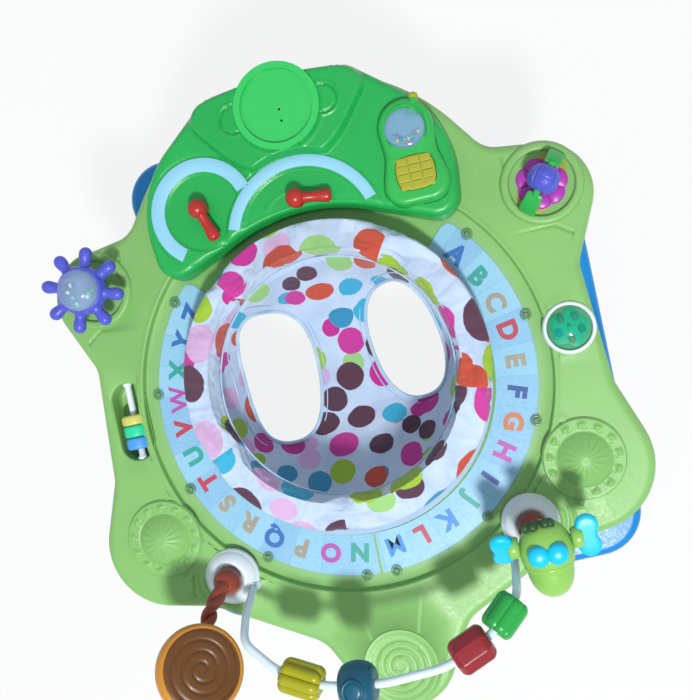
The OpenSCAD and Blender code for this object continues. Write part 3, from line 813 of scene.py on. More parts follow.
def make_panel():
    s = Shell()
    steps = [(-11.5, PANEL)] + fillet(0, PANEL, 9) + [
        (0.2, PANEL - 14 * MM), (0.9, TOP + 7 * MM), (1.6, TOP + 3 * MM), (2.2, TOP), (2.2, TOP - 4.4 * MM)]
    s.outline(PANEL_CHAIN, steps, chord=3.2, straight=4)
    s.follow(panel_height, PANEL, 14 * MM)
    domain = chain(PANEL_CHAIN, -11.5, 3.2, 4)
    hole = chain(PHONE_CHAIN, 1.5, 3.0, 8)
    features = []
    for centre, radii in (
            (LEFT_DIAL, (44, 45, 46, 62.8, 63.9, 65, 66.1, 67.2)),
            (RIGHT_DIAL, (53.9, 56, 58.1, 75.5, 76.5, 77.5, 92.2, 93.3, 94.4, 95.5, 96.6)),
            (DISC, (46.5, 48.5))):
        for r in radii:
            loop = ring2d(centre, r * MM, int(r * 2.2))
            if (inside(loop, domain) & ~inside(loop, hole)).all():
                features.append(loop)
    spots = [(DISC, 80 * MM, 2.0 * MM)]
    spots += [
        ((side * x * MM, y * MM), 24 * MM, 1.9 * MM)
        for side in (-1, 1) for x, y in ((88, 322), (66, 285))]
    plate(s, domain, [hole], features, panel_height, spacing=3.0,
          dense=[(LEFT_DIAL, 69 * MM, 2.0 * MM), (RIGHT_DIAL, 99 * MM, 2.1 * MM)] + spots)
    rim = panel_height(hole)
    s.loft([
        np.c_[hole, rim], np.c_[chain(PHONE_CHAIN, 0.9, 3.0, 8), rim - 1.2 * MM],
        np.c_[chain(PHONE_CHAIN, 0.8, 3.0, 8), rim - 6 * MM]])
    return s.piece("panel_shell", "tray", panel_green, ["play_panel"], "panel_green", smooth=60)


make_panel()


def make_scales():
    """The two white scales, with a fine raised texture."""
    s = Shell()

    def arc(centre, r_in, r_out, start, end, drop):
        count = int(abs(end - start) / 1.2)
        rings = []
        section = [
            (r_in, 0.1), (r_in + 0.3, 1.2), (r_in + 1.0, 1.6),
            (r_out - 1.0, 1.6), (r_out - 0.3, 1.2), (r_out, 0.1)]
        for k in range(count + 1):
            a = math.radians(start + (end - start) * k / count)
            rings.append([
                (centre[0] + r * MM * math.cos(a), centre[1] + r * MM * math.sin(a), PANEL + (h - drop) * MM)
                for r, h in section])
        s.loft(rings, closed=False)
        for ring, step in ((rings[0], -1), (rings[-1], 1)):
            s.face([s.add(ring) + k for k in range(len(ring))][::step])

    arc(LEFT_DIAL, 46.2, 62.8, 17, 234, 0)
    arc(RIGHT_DIAL, 78.2, 92, 17, 163, 0)
    return s.piece("dial_scales", "tray", scale_white, ["dial_plates"], "printed_card", smooth=35)


make_scales()


def make_lever(side):
    """A red knob with an arm. The arm leaves the hub at its own angle."""
    node = "lever_" + side
    hub = {"left": Vector((-113, 235, 0)), "right": Vector((1, 220, 0))}[side] * MM
    angle = {"left": -72, "right": -8}[side]
    turn = Matrix.Translation((hub.x, hub.y, PANEL)) @ Matrix.Rotation(math.radians(angle), 4, "Z")
    s = Shell()
    profile = [
        (9.6, 0.4), (10, 2), (9.4, 5), (9.2, 8), (10.4, 10.2), (11.2, 13), (10.9, 16.5), (9.6, 20),
        (7.2, 22.8),
        (4, 24.5), (1.2, 25), (0, 25)]
    s.lathe(in_mm(profile), count=48, place=turn)
    path, radii = [], []
    for k in range(19):
        t = k / 18
        path.append(turn @ (Vector((5 + 31 * t, 0, 13.5 - 4.5 * t)) * MM))
        radii.append((7.2 - 1.5 * math.sin(math.pi * min(t * 1.25, 1)) + 0.5 * smoothstep(0.75, 1, t)) * MM)
    tip = turn @ (Vector((36, 0, 9)) * MM)
    ahead = (tip - path[0]).normalized()
    for k in range(1, 7):
        a = math.pi / 2 * k / 6
        path.append(tip + ahead * 5.4 * MM * math.sin(a))
        radii.append(radii[18] * max(math.cos(a), 0.02))
    s.tube(path, radii, 24)
    s.piece("lever_knob_" + side, "dial_lever_" + side, lever_red, [node], "lever_red", smooth=60)


make_lever("left")
make_lever("right")


def rounded_box(s, centre, half, height, radius, top_round=0.7 * MM, place=None, count=7):
    """A block with rounded corners in plan and a rounded top edge. Sizes are in metres."""
    def loop(inset):
        points = []
        for sx, sy, start in ((1, 1, 0), (-1, 1, 90), (-1, -1, 180), (1, -1, 270)):
            for k in range(count):
                a = math.radians(start + 90 * k / (count - 1))
                r = max(radius - inset, 0.0002)
                points.append((
                    sx * (half[0] - radius) + r * math.cos(a), sy * (half[1] - radius) + r * math.sin(a)))
        return points
    z0, z1 = height
    steps = [(0, z0), (0, z1 - top_round)]
    steps += [(top_round * (1 - math.cos(a)), z1 - top_round * (1 - math.sin(a)))
              for a in (math.pi / 8, math.pi / 4, 3 * math.pi / 8, math.pi / 2)]
    rings = []
    for inset, z in steps:
        ring = [Vector((centre[0] + x, centre[1] + y, z)) for x, y in loop(inset)]
        rings.append([place @ p if place else p for p in ring])
    s.loft(rings, cap_start=True, cap_end=True)


def make_phone():
    top = PANEL + 12.5 * MM
    s = Shell()
    steps = [(-7.5, top)] + fillet(-0.2, top, 6.5) + [
        (0, PANEL + 3.5 * MM), (0.9, PANEL + 2.6 * MM), (1.0, PANEL + 0.8 * MM), (0.2, PANEL - 1.2 * MM)]
    s.outline(PHONE_CHAIN, steps, chord=2.4, straight=6)
    domain = chain(PHONE_CHAIN, -7.5, 2.4, 6)
    outline = chain(PHONE_CHAIN, 0, 2.4, 4)
    window = ring2d(WINDOW, 22.4 * MM, 90)
    pad = np.array([(KEYPAD[0] + x, KEYPAD[1] + y) for x, y in squircle(PAD_X, PAD_Y, 84)])

    def height(p):
        edge = distance_to(p, outline)
        r = radius_from(p, WINDOW)
        q = np.array([keypad_reach(x, y) for x, y in p])
        z = top - 1.3 * MM * bump(edge - 10.5 * MM, 2.2 * MM)
        z += 1.8 * MM * bump(r - 25.2 * MM, 3 * MM)
        return z + 0.9 * MM * bump(q - 1.11, 0.08)
    rings = [ring2d(WINDOW, r * MM, 90) for r in (23.4, 24.4, 25.2, 26.4, 27.8)]
    rings += [np.array([(KEYPAD[0] + x * g, KEYPAD[1] + y * g) for x, y in squircle(PAD_X, PAD_Y, 84)])
              for g in (1.04, 1.08, 1.12, 1.16)]
    good = [r for r in rings if inside(r, domain).all()]
    plate(s, domain, [window, pad], good, height, spacing=2.4)
    for loop, centre in ((window, WINDOW), (pad, KEYPAD)):
        z = height(loop)
        c = np.array(centre)
        s.loft([np.c_[loop, z], np.c_[c + (loop - c) * 0.985, z - 1 * MM],
            np.c_[c + (loop - c) * 0.98, z - 6 * MM]])

    def stub(points, lift, radii):
        base = Vector((0, 0, PANEL + lift * MM))
        s.tube([Vector((x, y, 0)) * MM + base for x, y in points], [r * MM for r in radii], 24)

    stub([(147.5, 280), (151, 290), (152.4, 294.5), (153.2, 297.5)], 7, (6.5, 5.4, 5, 4.6))
    s.mark = 1
    stub([(153, 297), (153.7, 299.6), (154.3, 302.2), (154.6, 303.4)], 7.4, (5.2, 5.6, 4.4, 1.5))
    s.mark = 2
    s.lathe([(0, PANEL + 6.6 * MM), (24 * MM, PANEL + 6.6 * MM)], (*WINDOW, 0), 64)
    s.piece("phone_shell", "tray", [phone_green, keypad_yellow, screen_blue], ["phone_body"], "phone_green",
        smooth=55)

    w = Shell()
    r, crown = 22.9, 5.5
    w.lathe([(r * MM * math.sin(a), top + (crown * math.cos(a) - 0.8) * MM)
             for a in quarter(14)], (*WINDOW, 0), 96)
    w.piece("window_lens", "tray", window_blue, ["phone_window"], "clear_cover", smooth=60)
    make_beadlets()

    k = Shell()
    for row in range(4):
        for column in range(3):
            x, y = (column - 1) * 13.6 * MM, (row - 1.5) * 9.2 * MM
            corner = row in (0, 3) and column != 1
            half = (6.5 * MM * (0.92 if corner else 1), 4.35 * MM)
            sink = 0.8 * MM if corner else 0.0
            centre = (KEYPAD[0] + x * (0.97 if corner else 1), KEYPAD[1] + y * (0.97 if corner else 1))
            rounded_box(k, centre, half, (PANEL + 9.5 * MM, top + 2.4 * MM - sink), 2.0 * MM, 0.9 * MM)
    loop = np.array(squircle(21.8 * MM, 18.9 * MM, 84))
    rings = []
    for g, z in ((1, PANEL + 9 * MM), (1, top + 0.2 * MM), (0.98, top + 0.8 * MM), (0.95, top + 1.0 * MM)):
        rings.append(np.c_[loop * g + np.array(KEYPAD), np.full(len(loop), z)])
    k.loft(rings, cap_start=True, cap_end=True)
    k.piece("keypad_keys", "keypad", keypad_yellow, ["phone_keypad"], "keypad_yellow", smooth=50)


def squircle(a, b, count, power=3.2):
    points = []
    for k in range(count):
        t = TAU * k / count
        c, d = math.cos(t), math.sin(t)
        points.append(
            (a * math.copysign(abs(c) ** (2 / power), c), b * math.copysign(abs(d) ** (2 / power), d)))
    return points


def keypad_reach(x, y, power=3.2):
    return (abs((x - KEYPAD[0]) / PAD_X) ** power + abs((y - KEYPAD[1]) / PAD_Y) ** power) ** (1 / power)


def make_beadlets():
    """Loose coloured beads that lie along the lower edge of the phone's window."""
    s = Shell()
    for k in range(13):
        s.mark = k % 5
        t = k / 12
        a = math.radians(205 + 130 * t)
        r = (15.5 - 3.5 * (k % 2)) * MM
        spot = (WINDOW[0] + r * math.cos(a), WINDOW[1] + r * math.sin(a), 0)
        size = 2.6 * MM
        z = PANEL + 9.4 * MM
        ball = [(size * math.sin(b), z - size * math.cos(b)) for b in (math.pi * j / 8 for j in range(9))]
        s.lathe(ball, spot, 14)
    s.piece("window_beads", "tray", [ring_blue, lever_red, ring_yellow, blue, phone_green], (), "clear_cover")


make_phone()

# ---------------------------------------------------------------- toys on the tray


def sphere_profile(radius, low_angle=-90, high_angle=90, count=24, lift=0.0):
    """(radius, height) steps from the lower to the higher latitude, in degrees."""
    out = []
    for k in range(count + 1):
        a = math.radians(low_angle + (high_angle - low_angle) * k / count)
        out.append((radius * math.cos(a), radius * math.sin(a) + lift))
    return out


def make_clicker(side):
    node = "clicker_dial_" + side
    c = at(node)
    s = Shell()
    rings = []
    count = 240
    a = np.arange(count) * TAU / count
    bumps = 13
    for r in (0, 1.5, 4, 7, 10, 13, 16, 19, 22, 24.5, 26.5, 28, 29.2, 30.6, 32, 33.4, 34.6, 35.8, 37, 38.2,
        39.4,
              40.6, 41.8, 43, 44.2, 45.2, 46.2, 46.8, 47):
        z = np.full(count, 4.0)
        if r < 29.5:
            dome = 11.5 * (1 - (r / 29.5) ** 2)
            rib = 0.9 * np.cos(a * 8 + 0.5) ** 8 * smoothstep(6, 12, r) * smoothstep(27, 20, r)
            z = z + dome + rib + 0.8 * bump(np.full(count, r - 5.0), 2.5)
        z = z - 0.8 * bump(np.full(count, r - 30.5), 1.8)
        swell = np.maximum(0, np.cos(a * bumps)) ** 0.8 * bump(np.full(count, r - 38.0), 5.2)
        dent = np.maximum(0, np.cos(a * bumps + 0.5)) ** 1.5 * bump(np.full(count, r - 36.2), 4.0)
        z = z + 3.0 * swell - 2.0 * dent
        z = z - 2.4 * smoothstep(45, 47, r)
        rings.append(np.c_[c[0] + r * MM * np.cos(a), c[1] + r * MM * np.sin(a), TOP + z * MM])
    edge = rings[-1].copy()
    edge[:, 2] = TOP + 0.35 * MM
    rings.append(edge)
    s.loft(rings)
    s.piece("clicker_" + side, "clicker_" + side, tray_green, [node], "tray_green", smooth=50)


make_clicker("left")
make_clicker("right")


def make_cups():
    s = Shell()
    for c in CUPS:
        profile = [
            (33.5, -1), (33.4, 2), (32.8, 3.6), (31.6, 4.6), (30.6, 6), (29.6, 8.4), (27.2, 11), (25, 13.2),
            (22.8, 15), (20.8, 16), (18.4, 16), (16.6, 14.6), (14.4, 11), (12, 8), (8, 6), (0, 5)]
        s.lathe(in_mm(profile, TOP), (*c, 0), 96)
    s.piece("socket_cups", "tray", white, ["toy_cups"], "white_plastic", smooth=40)


make_cups()


def make_dome():
    c = (*DOME, 0)
    ring = Shell()
    ring.lathe(in_mm((
        (30.2, -0.5), (30, 1.5), (29.4, 3.4), (28.2, 4.9), (27, 5.3), (25.9, 4.9), (25.2, 3.6), (25, 1.5),
        (25, -0.5)), TOP), c, 96)
    ring.piece("dome_collar", "tray", white, ["dome_ring"], "white_plastic", smooth=50)
    s = Shell()
    bubble = [(24.6, 0.4), (24.6, 2)]
    bubble += [(24.6 * math.cos(a), 2 + 15.6 * math.sin(a)) for a in quarter(16, 1)]
    s.lathe(in_mm(bubble, TOP), c, 96)
    s.piece("dome_shell", "dome", dome_teal, ["bubble_dome"], "dome_teal", smooth=60)
    inner = Shell()
    for k in range(5):
        inner.mark = k
        a = math.radians(126 + 72 * k)
        spot = (DOME[0] + 13.5 * MM * math.cos(a), DOME[1] + 13.5 * MM * math.sin(a), 0)
        inner.lathe(in_mm(sphere_profile(4.4, count=12), TOP + 6.4 * MM), spot, 20)
    inner.mark = 5
    count = 160
    a = np.arange(count) * TAU / count
    rings = []
    for g in (0.0, 0.3, 0.6, 0.8, 0.9, 1.0):
        r = g * (20.5 + 2.4 * np.cos(a * 5)) * MM
        z = TOP + (1.6 + 1.4 * (1 - g ** 2)) * MM
        rings.append(np.c_[DOME[0] + r * np.cos(a), DOME[1] + r * np.sin(a), np.full(count, z)])
    inner.loft(rings)
    inner.lathe(in_mm(((3.4, 3), (1.6, 12.5), (0, 13.3)), TOP), c, 24)
    inner.piece("dome_balls", "dome", [lolly_brown, base_blue, lever_red, tuft_green, rod_grey, ring_teal],
        (), "dome_teal")


make_dome()


def make_rattle():
    z0 = TOP + 38 * MM
    c = Vector((*RATTLE, z0))
    s = Shell()
    hub = [
        (0, -12), (20, -12), (25, -11.4), (28, -9), (29.4, -5), (29.6, 0), (29, 4.4), (27.9, 7.6),
        (26.8, 9.6),
        (25.9, 10.6), (24.9, 10.6), (24.2, 9.6), (24, 6.5), (0, 6)]
    s.lathe(in_mm(hub, z0), (*RATTLE, 0), 96)
    for k in range(8):
        a = math.radians(27 + 45 * k)
        out = Vector((math.cos(a), math.sin(a), -0.05)).normalized()
        path, radii = [], []
        for j in range(25):
            t = j / 24
            reach = 22 + 21 * t
            path.append(c + out * reach * MM)
            neck = 9.8 - 3.4 * smoothstep(0.0, 0.5, t) + 1.3 * smoothstep(0.5, 0.95, t)
            radii.append(neck * MM)
        for j in range(1, 9):
            b = math.pi / 2 * j / 8
            path.append(c + out * (43 + 8.2 * math.sin(b)) * MM)
            radii.append(max(7.7 * math.cos(b), 0.05) * MM)
        s.tube(path, radii, 28)
    s.piece("rattle_star", "rattle", violet, ["rattle_wheel"], "rattle_violet", smooth=60)
    d = Shell()
    bubble = [(24.8, 9.4)] + [(24.8 * math.cos(b), 9.8 + 16.8 * math.sin(b)) for b in quarter(18)]
    d.lathe(in_mm(bubble, z0), (*RATTLE, 0), 96)
    d.piece("rattle_bubble", "rattle", dome_clear, ["rattle_dome"], "clear_cover", smooth=60)
    b = Shell()
    rng = np.random.default_rng(4)
    for k in range(16):
        b.mark = k % 4
        a, r = rng.uniform(0, TAU), 18 * math.sqrt(rng.uniform(0, 1))
        spot = (RATTLE[0] + r * MM * math.cos(a), RATTLE[1] + r * MM * math.sin(a), 0)
        size = rng.uniform(2.0, 3.0)
        lift = rng.uniform(8.6, 10.5)
        b.lathe([(x * MM, z0 + (z + lift) * MM) for x, z in sphere_profile(size, count=8)], spot, 14)
    b.mark = 4
    b.lathe([(0, z0 + 7.0 * MM), (12 * MM, z0 + 6.9 * MM), (23.8 * MM, z0 + 6.6 * MM)], (*RATTLE, 0), 64)
    b.piece("rattle_beads", "rattle", [phone_green, ring_teal, white, blue, rattle_floor], (), "clear_cover")
    p = Shell()
    p.lathe(in_mm((
        (15.5, -2.6), (15, 3), (13.8, 6.4), (11.6, 8.2), (8.6, 9.6), (7.4, 12), (7, 20), (7, 30), (6.6, 34),
        (0, 34.4)), TOP),
        (*RATTLE, 0), 48)
    p.piece("rattle_stalk", "tray", violet, ["rattle_post"], "rattle_violet")


make_rattle()


def make_flower():
    c = (FLOWER[0], FLOWER[1])
    z0 = TOP + 0.5 * MM
    s = Shell()
    count = 252
    a = np.arange(count) * TAU / count
    lobes = 7
    reach = 25.2 + 3.8 * np.abs(np.cos(a * lobes / 2)) ** 0.55
    rings = []
    for g in (0.02, 0.2, 0.34, 0.44, 0.52, 0.6, 0.68, 0.76, 0.84, 0.9, 0.95, 0.985, 1.0):
        petal = np.abs(np.cos(a * lobes / 2)) ** 0.5
        z = 2.4 + 2.8 * petal * math.sin(math.pi * min(max((g - 0.3) / 0.74, 0), 1)) ** 0.7
        if g > 0.97:
            z = np.full(count, 2.0)
        r = g * reach * MM
        rings.append(np.c_[c[0] + r * np.cos(a), c[1] + r * np.sin(a), z0 + z * MM])
    under = rings[-1].copy()
    under[:, 2] = z0 + 0.4 * MM
    rings.append(under)
    s.loft(rings, cap_start=True, cap_end=True)
    s.lathe(in_mm((
        (12.5, 2), (12.4, 6), (11.6, 8.2), (9.6, 9.6), (6.5, 10), (4.3, 10), (4.2, 8)), z0), (*c, 0), 48)
    s.piece("flower_petals", "flower", magenta, ["flower_spinner"], "flower_magenta", smooth=35)
    turn = Matrix.Translation((c[0], c[1], TOP)) @ Matrix.Rotation(math.radians(50), 4, "Z")
    leaf = Shell()
    count = 180
    a = np.arange(count) * TAU / count
    reach = 24 + 12.5 * np.abs(np.cos(a)) ** 3
    rings = []
    for g in (0.0, 0.4, 0.7, 0.85, 0.95, 1.0, 1.0):
        r = g * reach * MM
        height = (0.35 + 0.9 * (1 - g ** 6)) * MM - (0.3 * MM if len(rings) == 6 else 0)
        rings.append(
            [turn @ Vector((x, y, height + 0.35 * MM)) for x, y in zip(r * np.cos(a), r * np.sin(a))])
    leaf.loft(rings)
    leaf.piece("flower_leaf", "tray", keypad_yellow, (), "keypad_yellow")
    arch = Shell()
    for side in (0, math.pi):
        spin = turn @ Matrix.Rotation(side, 4, "Z")
        rings = []
        for k in range(27):
            t = k / 26
            b = math.radians(-4 + 66 * t)
            half = 10.6 - 1.8 * t + 0.9 * math.exp(-(t / 0.08) ** 2)
            thick = 2.1
            if k in (0, 26):
                half, thick = half - 1.2, thick - 0.9
            ring = []
            for x, y in squircle(thick, half, 28, 3.0):
                r = 37 + x
                ring.append(spin @ (Vector((r * math.cos(b), y, r * math.sin(b))) * MM))
            rings.append(ring)
        arch.loft(rings, cap_start=True, cap_end=True)
    axle = [turn @ (Vector((x, 0, 33)) * MM) for x in (-21, -20.6, 20.6, 21)]
    arch.tube(axle, [2.6 * MM, 3.9 * MM, 3.9 * MM, 2.6 * MM], 24)
    arch.lathe([(4 * MM, 0), (4 * MM, 7.6 * MM), (3.2 * MM, 8.2 * MM), (0, 8.2 * MM)], place=turn, count=24)
    arch.piece("arch_strap", "tray", phone_green, ["flower_arch"], "phone_green", smooth=40)
    ball = Shell()
    place = turn @ Matrix.Translation((0, 0, 33 * MM)) @ Matrix.Rotation(math.pi / 2, 4, "Y")
    count = 120
    a = np.arange(count) * TAU / count
    rings = []
    for k in range(33):
        t = -1 + 2 * k / 32
        h = 14.2 * t
        r = math.sqrt(max(17.6 ** 2 - (h * 1.02) ** 2, 0))
        if abs(t) > 0.97:
            r -= 1.6
        swell = 1 - 0.05 * (np.abs(np.sin(a * 2.5)) < 0.14) - 0.035 * bump(np.full(count, h), 1.3)
        boss = 0.05 * np.exp(-((np.sin(a * 2.5) ** 2 - 1) / 0.12) ** 2)
        swell = swell + boss * math.exp(-((abs(h) - 6.5) / 2.6) ** 2)
        rings.append(placed(place, np.cos(a) * swell * r, np.sin(a) * swell * r, h))
    hole = [placed(place, 4.3 * np.cos(a), 4.3 * np.sin(a), h) for h in (-14.2, 14.2)]
    ball.loft([hole[0]] + rings + [hole[1]], loop=True)
    ball.piece("ladybird", "ladybird", violet, ["ladybird_bead"], "rattle_violet", smooth=35)


make_flower()


def make_slot():
    c = (SLOT[0], SLOT[1])
    s = Shell()
    rings = []
    for grow, z in ((20.7, -3), (20.4, -10), (20.1, -20), (19.4, -24.6), (17.5, -26.4), (14.5, -27),
            (8, -27.2), (2, -27.2)):
        rings.append(np.c_[stadium(c, grow * MM, SLOT_LENGTH, 24), np.full(50, TOP + z * MM)])
    s.loft(rings, cap_end=True)
    s.piece("slot_tub", "tray", tray_green, ["slot_pan"], "tray_green", smooth=50)
    rod = Shell()
    z = mid("slot_rod").z
    y0, y1 = low("slot_rod").y, high("slot_rod").y
    path = [(c[0], y0 + t, z) for t in (0, 1 * MM, 3 * MM, 5 * MM, 6 * MM)]
    radii = [5.4 * MM, 6.2 * MM, 6.2 * MM, 4.6 * MM, 4.1 * MM]
    path += [(c[0], y1 - t, z) for t in (6 * MM, 5 * MM, 3 * MM, 1 * MM, 0)]
    radii += [4.1 * MM, 4.4 * MM, 5.6 * MM, 5.8 * MM, 5 * MM]
    rod.tube(path, radii, 32)
    rod.piece("ring_rod", "tray", white, ["slot_rod"], "white_plastic")
    stack = Shell()
    start = low("slot_rings").y
    for k, (length, offset) in enumerate(((14.3, 0), (14.3, 15), (12, 30))):
        stack.mark = k
        y = start + offset * MM
        place = Matrix.Translation((c[0], y, z)) @ Matrix.Rotation(-math.pi / 2, 4, "X")
        profile = [(4.6, 0.5), (6, 0), (13.4, 0), (15, 0.7), (15.9, 2.4), (16, 4), (16, length - 4),
                   (15.9, length - 2.4), (15, length - 0.7), (13.4, length), (6, length), (4.6, length - 0.5)]
        stack.lathe(in_mm(profile), place=place, count=72)
    stack.piece("ring_stack", "rings", [ring_blue, ring_teal, ring_yellow], ["slot_rings"], "ring_colours")


make_slot()

# ---------------------------------------------------------------- lollipop, plane and bead wire

FOOT_Z = TOP + 24 * MM


def make_lollipop():
    foot = Vector((*CUPS[0], FOOT_Z))
    centre = mid("lollipop_disc")
    place = Matrix.Translation(centre) @ Matrix.Rotation(math.radians(25), 4, "Z")
    place = place @ Matrix.Rotation(math.radians(42), 4, "Y")
    s = Shell()
    count = 180
    a = np.arange(count) * TAU / count
    for side in (1, -1):
        s.mark = 0
        rings = []
        for r in [0.3] + [0.9 * k for k in range(1, 48)]:
            phase = (r / 11.5 - side * a / TAU) % 1
            groove = np.cos((phase - 0.5) * math.pi) ** 8 * smoothstep(43, 39, r) * smoothstep(1, 5, r)
            z = 10.0 + 1.2 * (1 - (r / 43) ** 2) - 1.5 * groove - 0.9 * smoothstep(39.5, 43, r)
            rings.append(placed(place, r * np.cos(a), r * np.sin(a), side * z))
        s.loft(rings, cap_start=True)
    s.mark = 1
    rim = [(42.3, 9.1), (43.6, 9.4), (45.2, 8.8), (46.8, 7.2), (47.8, 5), (48.2, 2.4), (48.3, 0.5)]
    rim += [(47.6, 0), (48.3, -0.5)] + [(r, -z) for r, z in reversed(rim[:-1])]
    s.lathe(in_mm(rim), place=place, count=count)
    s.piece("lolly_disc", "lollipop", [lolly_brown, lolly_gold], ["lollipop_disc"], "lolly_orange", smooth=50)
    stem = Shell()
    stem.lathe(in_mm(sphere_profile(16, -90, 90, 28)), tuple(foot), 64)
    for strand in (0, 1):
        path, radii = [], []
        knots = [foot + Vector((0, 0, 8)) * MM, Vector((-190, -212, 468)) * MM,
            Vector((-196, -228, 482)) * MM,
                 Vector((-199, -246, 498)) * MM]
        for k in range(61):
            t = k / 60
            p = spline(knots, t)
            ahead = (spline(knots, min(t + 0.02, 1)) - spline(knots, max(t - 0.02, 0))).normalized()
            one = ahead.cross(Vector((0, 1, 0))).normalized()
            two = ahead.cross(one)
            turn = TAU * 1.6 * t + math.pi * strand
            spread = 3.2 * MM * (0.7 + 0.5 * math.sin(math.pi * t))
            path.append(p + (one * math.cos(turn) + two * math.sin(turn)) * spread)
            radii.append((6.4 - 1.6 * t) * MM)
        stem.tube(path, radii, 24)
    stem.piece("lolly_stem", "lollipop", stem_brown, ["lollipop_stem"], "stem_brown", smooth=60)


def spline(knots, t):
    """A smooth curve through all the knots."""
    span = t * (len(knots) - 1)
    i = min(int(span), len(knots) - 2)
    u = span - i
    p0, p1, p2, p3 = (knots[max(min(j, len(knots) - 1), 0)] for j in (i - 1, i, i + 1, i + 2))
    return 0.5 * (2 * p1 + (p2 - p0) * u + (2 * p0 - 5 * p1 + 4 * p2 - p3) * u ** 2
                  + (3 * p1 - p0 - 3 * p2 + p3) * u ** 3)


make_lollipop()


def make_plane():
    axle = mid("plane_wings")
    foot = Vector((*CUPS[1], FOOT_Z))
    body = Vector((axle.x, axle.y + 4 * MM, axle.z))
    lean = Matrix.Translation(body) @ Matrix.Rotation(math.radians(96), 4, "X")
    s = Shell()
    count = 96
    a = np.arange(count) * TAU / count
    profile = [
        (1, -19), (6, -18.8), (11, -17.8), (15.5, -15.8), (19, -13), (22, -9.5), (24.6, -5), (26.6, 0),
        (28, 5),
        (28.6, 10), (28.6, 15), (28.2, 19.5), (27.2, 23.5), (26.2, 26.6), (25.2, 29), (24.6, 31), (24.4, 34),
        (24, 38), (23.2, 42), (21.8, 46.5), (20, 50.5), (17.4, 54.6), (14, 58), (10, 60.8), (5.5, 62.5),
        (1, 63)]
    rings = []
    for r, h in profile:
        rings.append(placed(lean, r * np.cos(a), r * np.sin(a) * 0.97, h))
    s.loft(rings, cap_start=True, cap_end=True)
    crease = [(25.6, 24.2), (26.4, 25.6), (26.2, 26.8), (24.8, 27.2)]
    s.lathe([(r * 1.02 * MM, h * MM) for r, h in crease], place=lean, count=96)
    s.mark = 1
    s.lathe(in_mm(sphere_profile(16, -90, 90, 28)), tuple(foot), 64)
    neck = [foot, foot + Vector((3, 1, 16)) * MM, Vector((body.x - 3 * MM, body.y, body.z - 22 * MM))]
    s.tube(neck, [9.5 * MM, 8.4 * MM, 8.8 * MM], 32)
    s.mark = 2
    tuft = Vector((body.x - 3 * MM, body.y + 15 * MM, body.z + 8 * MM))
    rng = np.random.default_rng(9)
    for k in range(9):
        spot = tuft + Vector((rng.uniform(-15, 15), rng.uniform(-3, 4), rng.uniform(-6, 6))) * MM
        size = rng.uniform(4.2, 5.6) * MM
        s.lathe([(r * size, z * size) for r, z in sphere_profile(1, count=10)], tuple(spot), 18)
    s.mark = 3
    for side in (-1, 1):
        eye = lean @ (Vector((side * 9.5, 25, 9)) * MM)
        up = (lean.to_3x3() @ Vector((0, 1, 0))).normalized()
        tilt = Matrix.Translation(eye) @ up.to_track_quat("Z", "Y").to_matrix().to_4x4()
        dome = [(11.4, -4), (11.4, 1), (10.9, 3), (9.4, 5), (7, 6.6), (4, 7.5), (1.5, 7.8), (0, 7.8)]
        s.lathe(in_mm(dome), place=tilt, count=48)
    s.piece("plane_pod", "plane", [pod_green, stem_brown, tuft_green, cyan], ["plane_body"], "tray_green",
        smooth=60)

    w = Shell()
    w.tube([axle + Vector((x, 0, 0)) * MM for x in (-38, -37.5, 37.5, 38)],
        [3.4 * MM, 4 * MM, 4 * MM, 3.4 * MM], 24)
    w.mark = 1
    for side in (-1, 1):
        hub = [axle + Vector((side * x, 0, 0)) * MM for x in (27.5, 28.5, 32, 36, 38.6, 39.4)]
        w.tube(hub, [9 * MM, 10.5 * MM, 11.6 * MM, 11.6 * MM, 10.8 * MM, 8.6 * MM], 40)
    w.mark = 0
    for side, tilt in ((-1, 42), (1, 12)):
        place = Matrix.Translation(axle + Vector((side * 45, 0, 0)) * MM)
        place = place @ Matrix.Rotation(math.radians(tilt), 4, "X")
        count = 140
        rings = []
        a = np.arange(count) * TAU / count
        # a bone: two round ends with a waist
        length, waist = 11.6, 0.80
        reach = []
        for angle in a:
            best = 0
            c, d = math.cos(angle), math.sin(angle)
            for e in (-length, length):
                b = d * e
                inner = b * b - (e * e - 12.2 ** 2)
                if inner > 0:
                    best = max(best, b + math.sqrt(inner))
            bar = 9.8 / max(abs(c), 1e-6)
            best = max(best, min(bar, 20) if abs(d) * bar < length else 0)
            reach.append(best)
        reach = np.array(reach)
        reach = np.convolve(np.r_[reach[-3:], reach, reach[:3]], np.ones(7) / 7, "valid")
        for g, h in ((0.05, 4.6), (0.5, 4.6), (0.8, 4.5), (0.9, 4.0), (0.965, 2.8), (1.0, 1.0), (1.0, -1.0),
                     (0.965, -2.8), (0.9, -4.0), (0.8, -4.5), (0.5, -4.6), (0.05, -4.6)):
            rings.append(placed(place, reach * g * np.cos(a), reach * g * np.sin(a), h * 1.05))
        w.loft(rings, cap_start=True, cap_end=True)
    w.piece("plane_paddles", "wings", [cyan, pod_green], ["plane_wings"], "wing_cyan", smooth=60)


make_plane()

WIRE_RIGHT = [(155, -211, 408), (154, -228, 468), (150, -248, 508), (114, -279, 524), (64, -300, 532)]


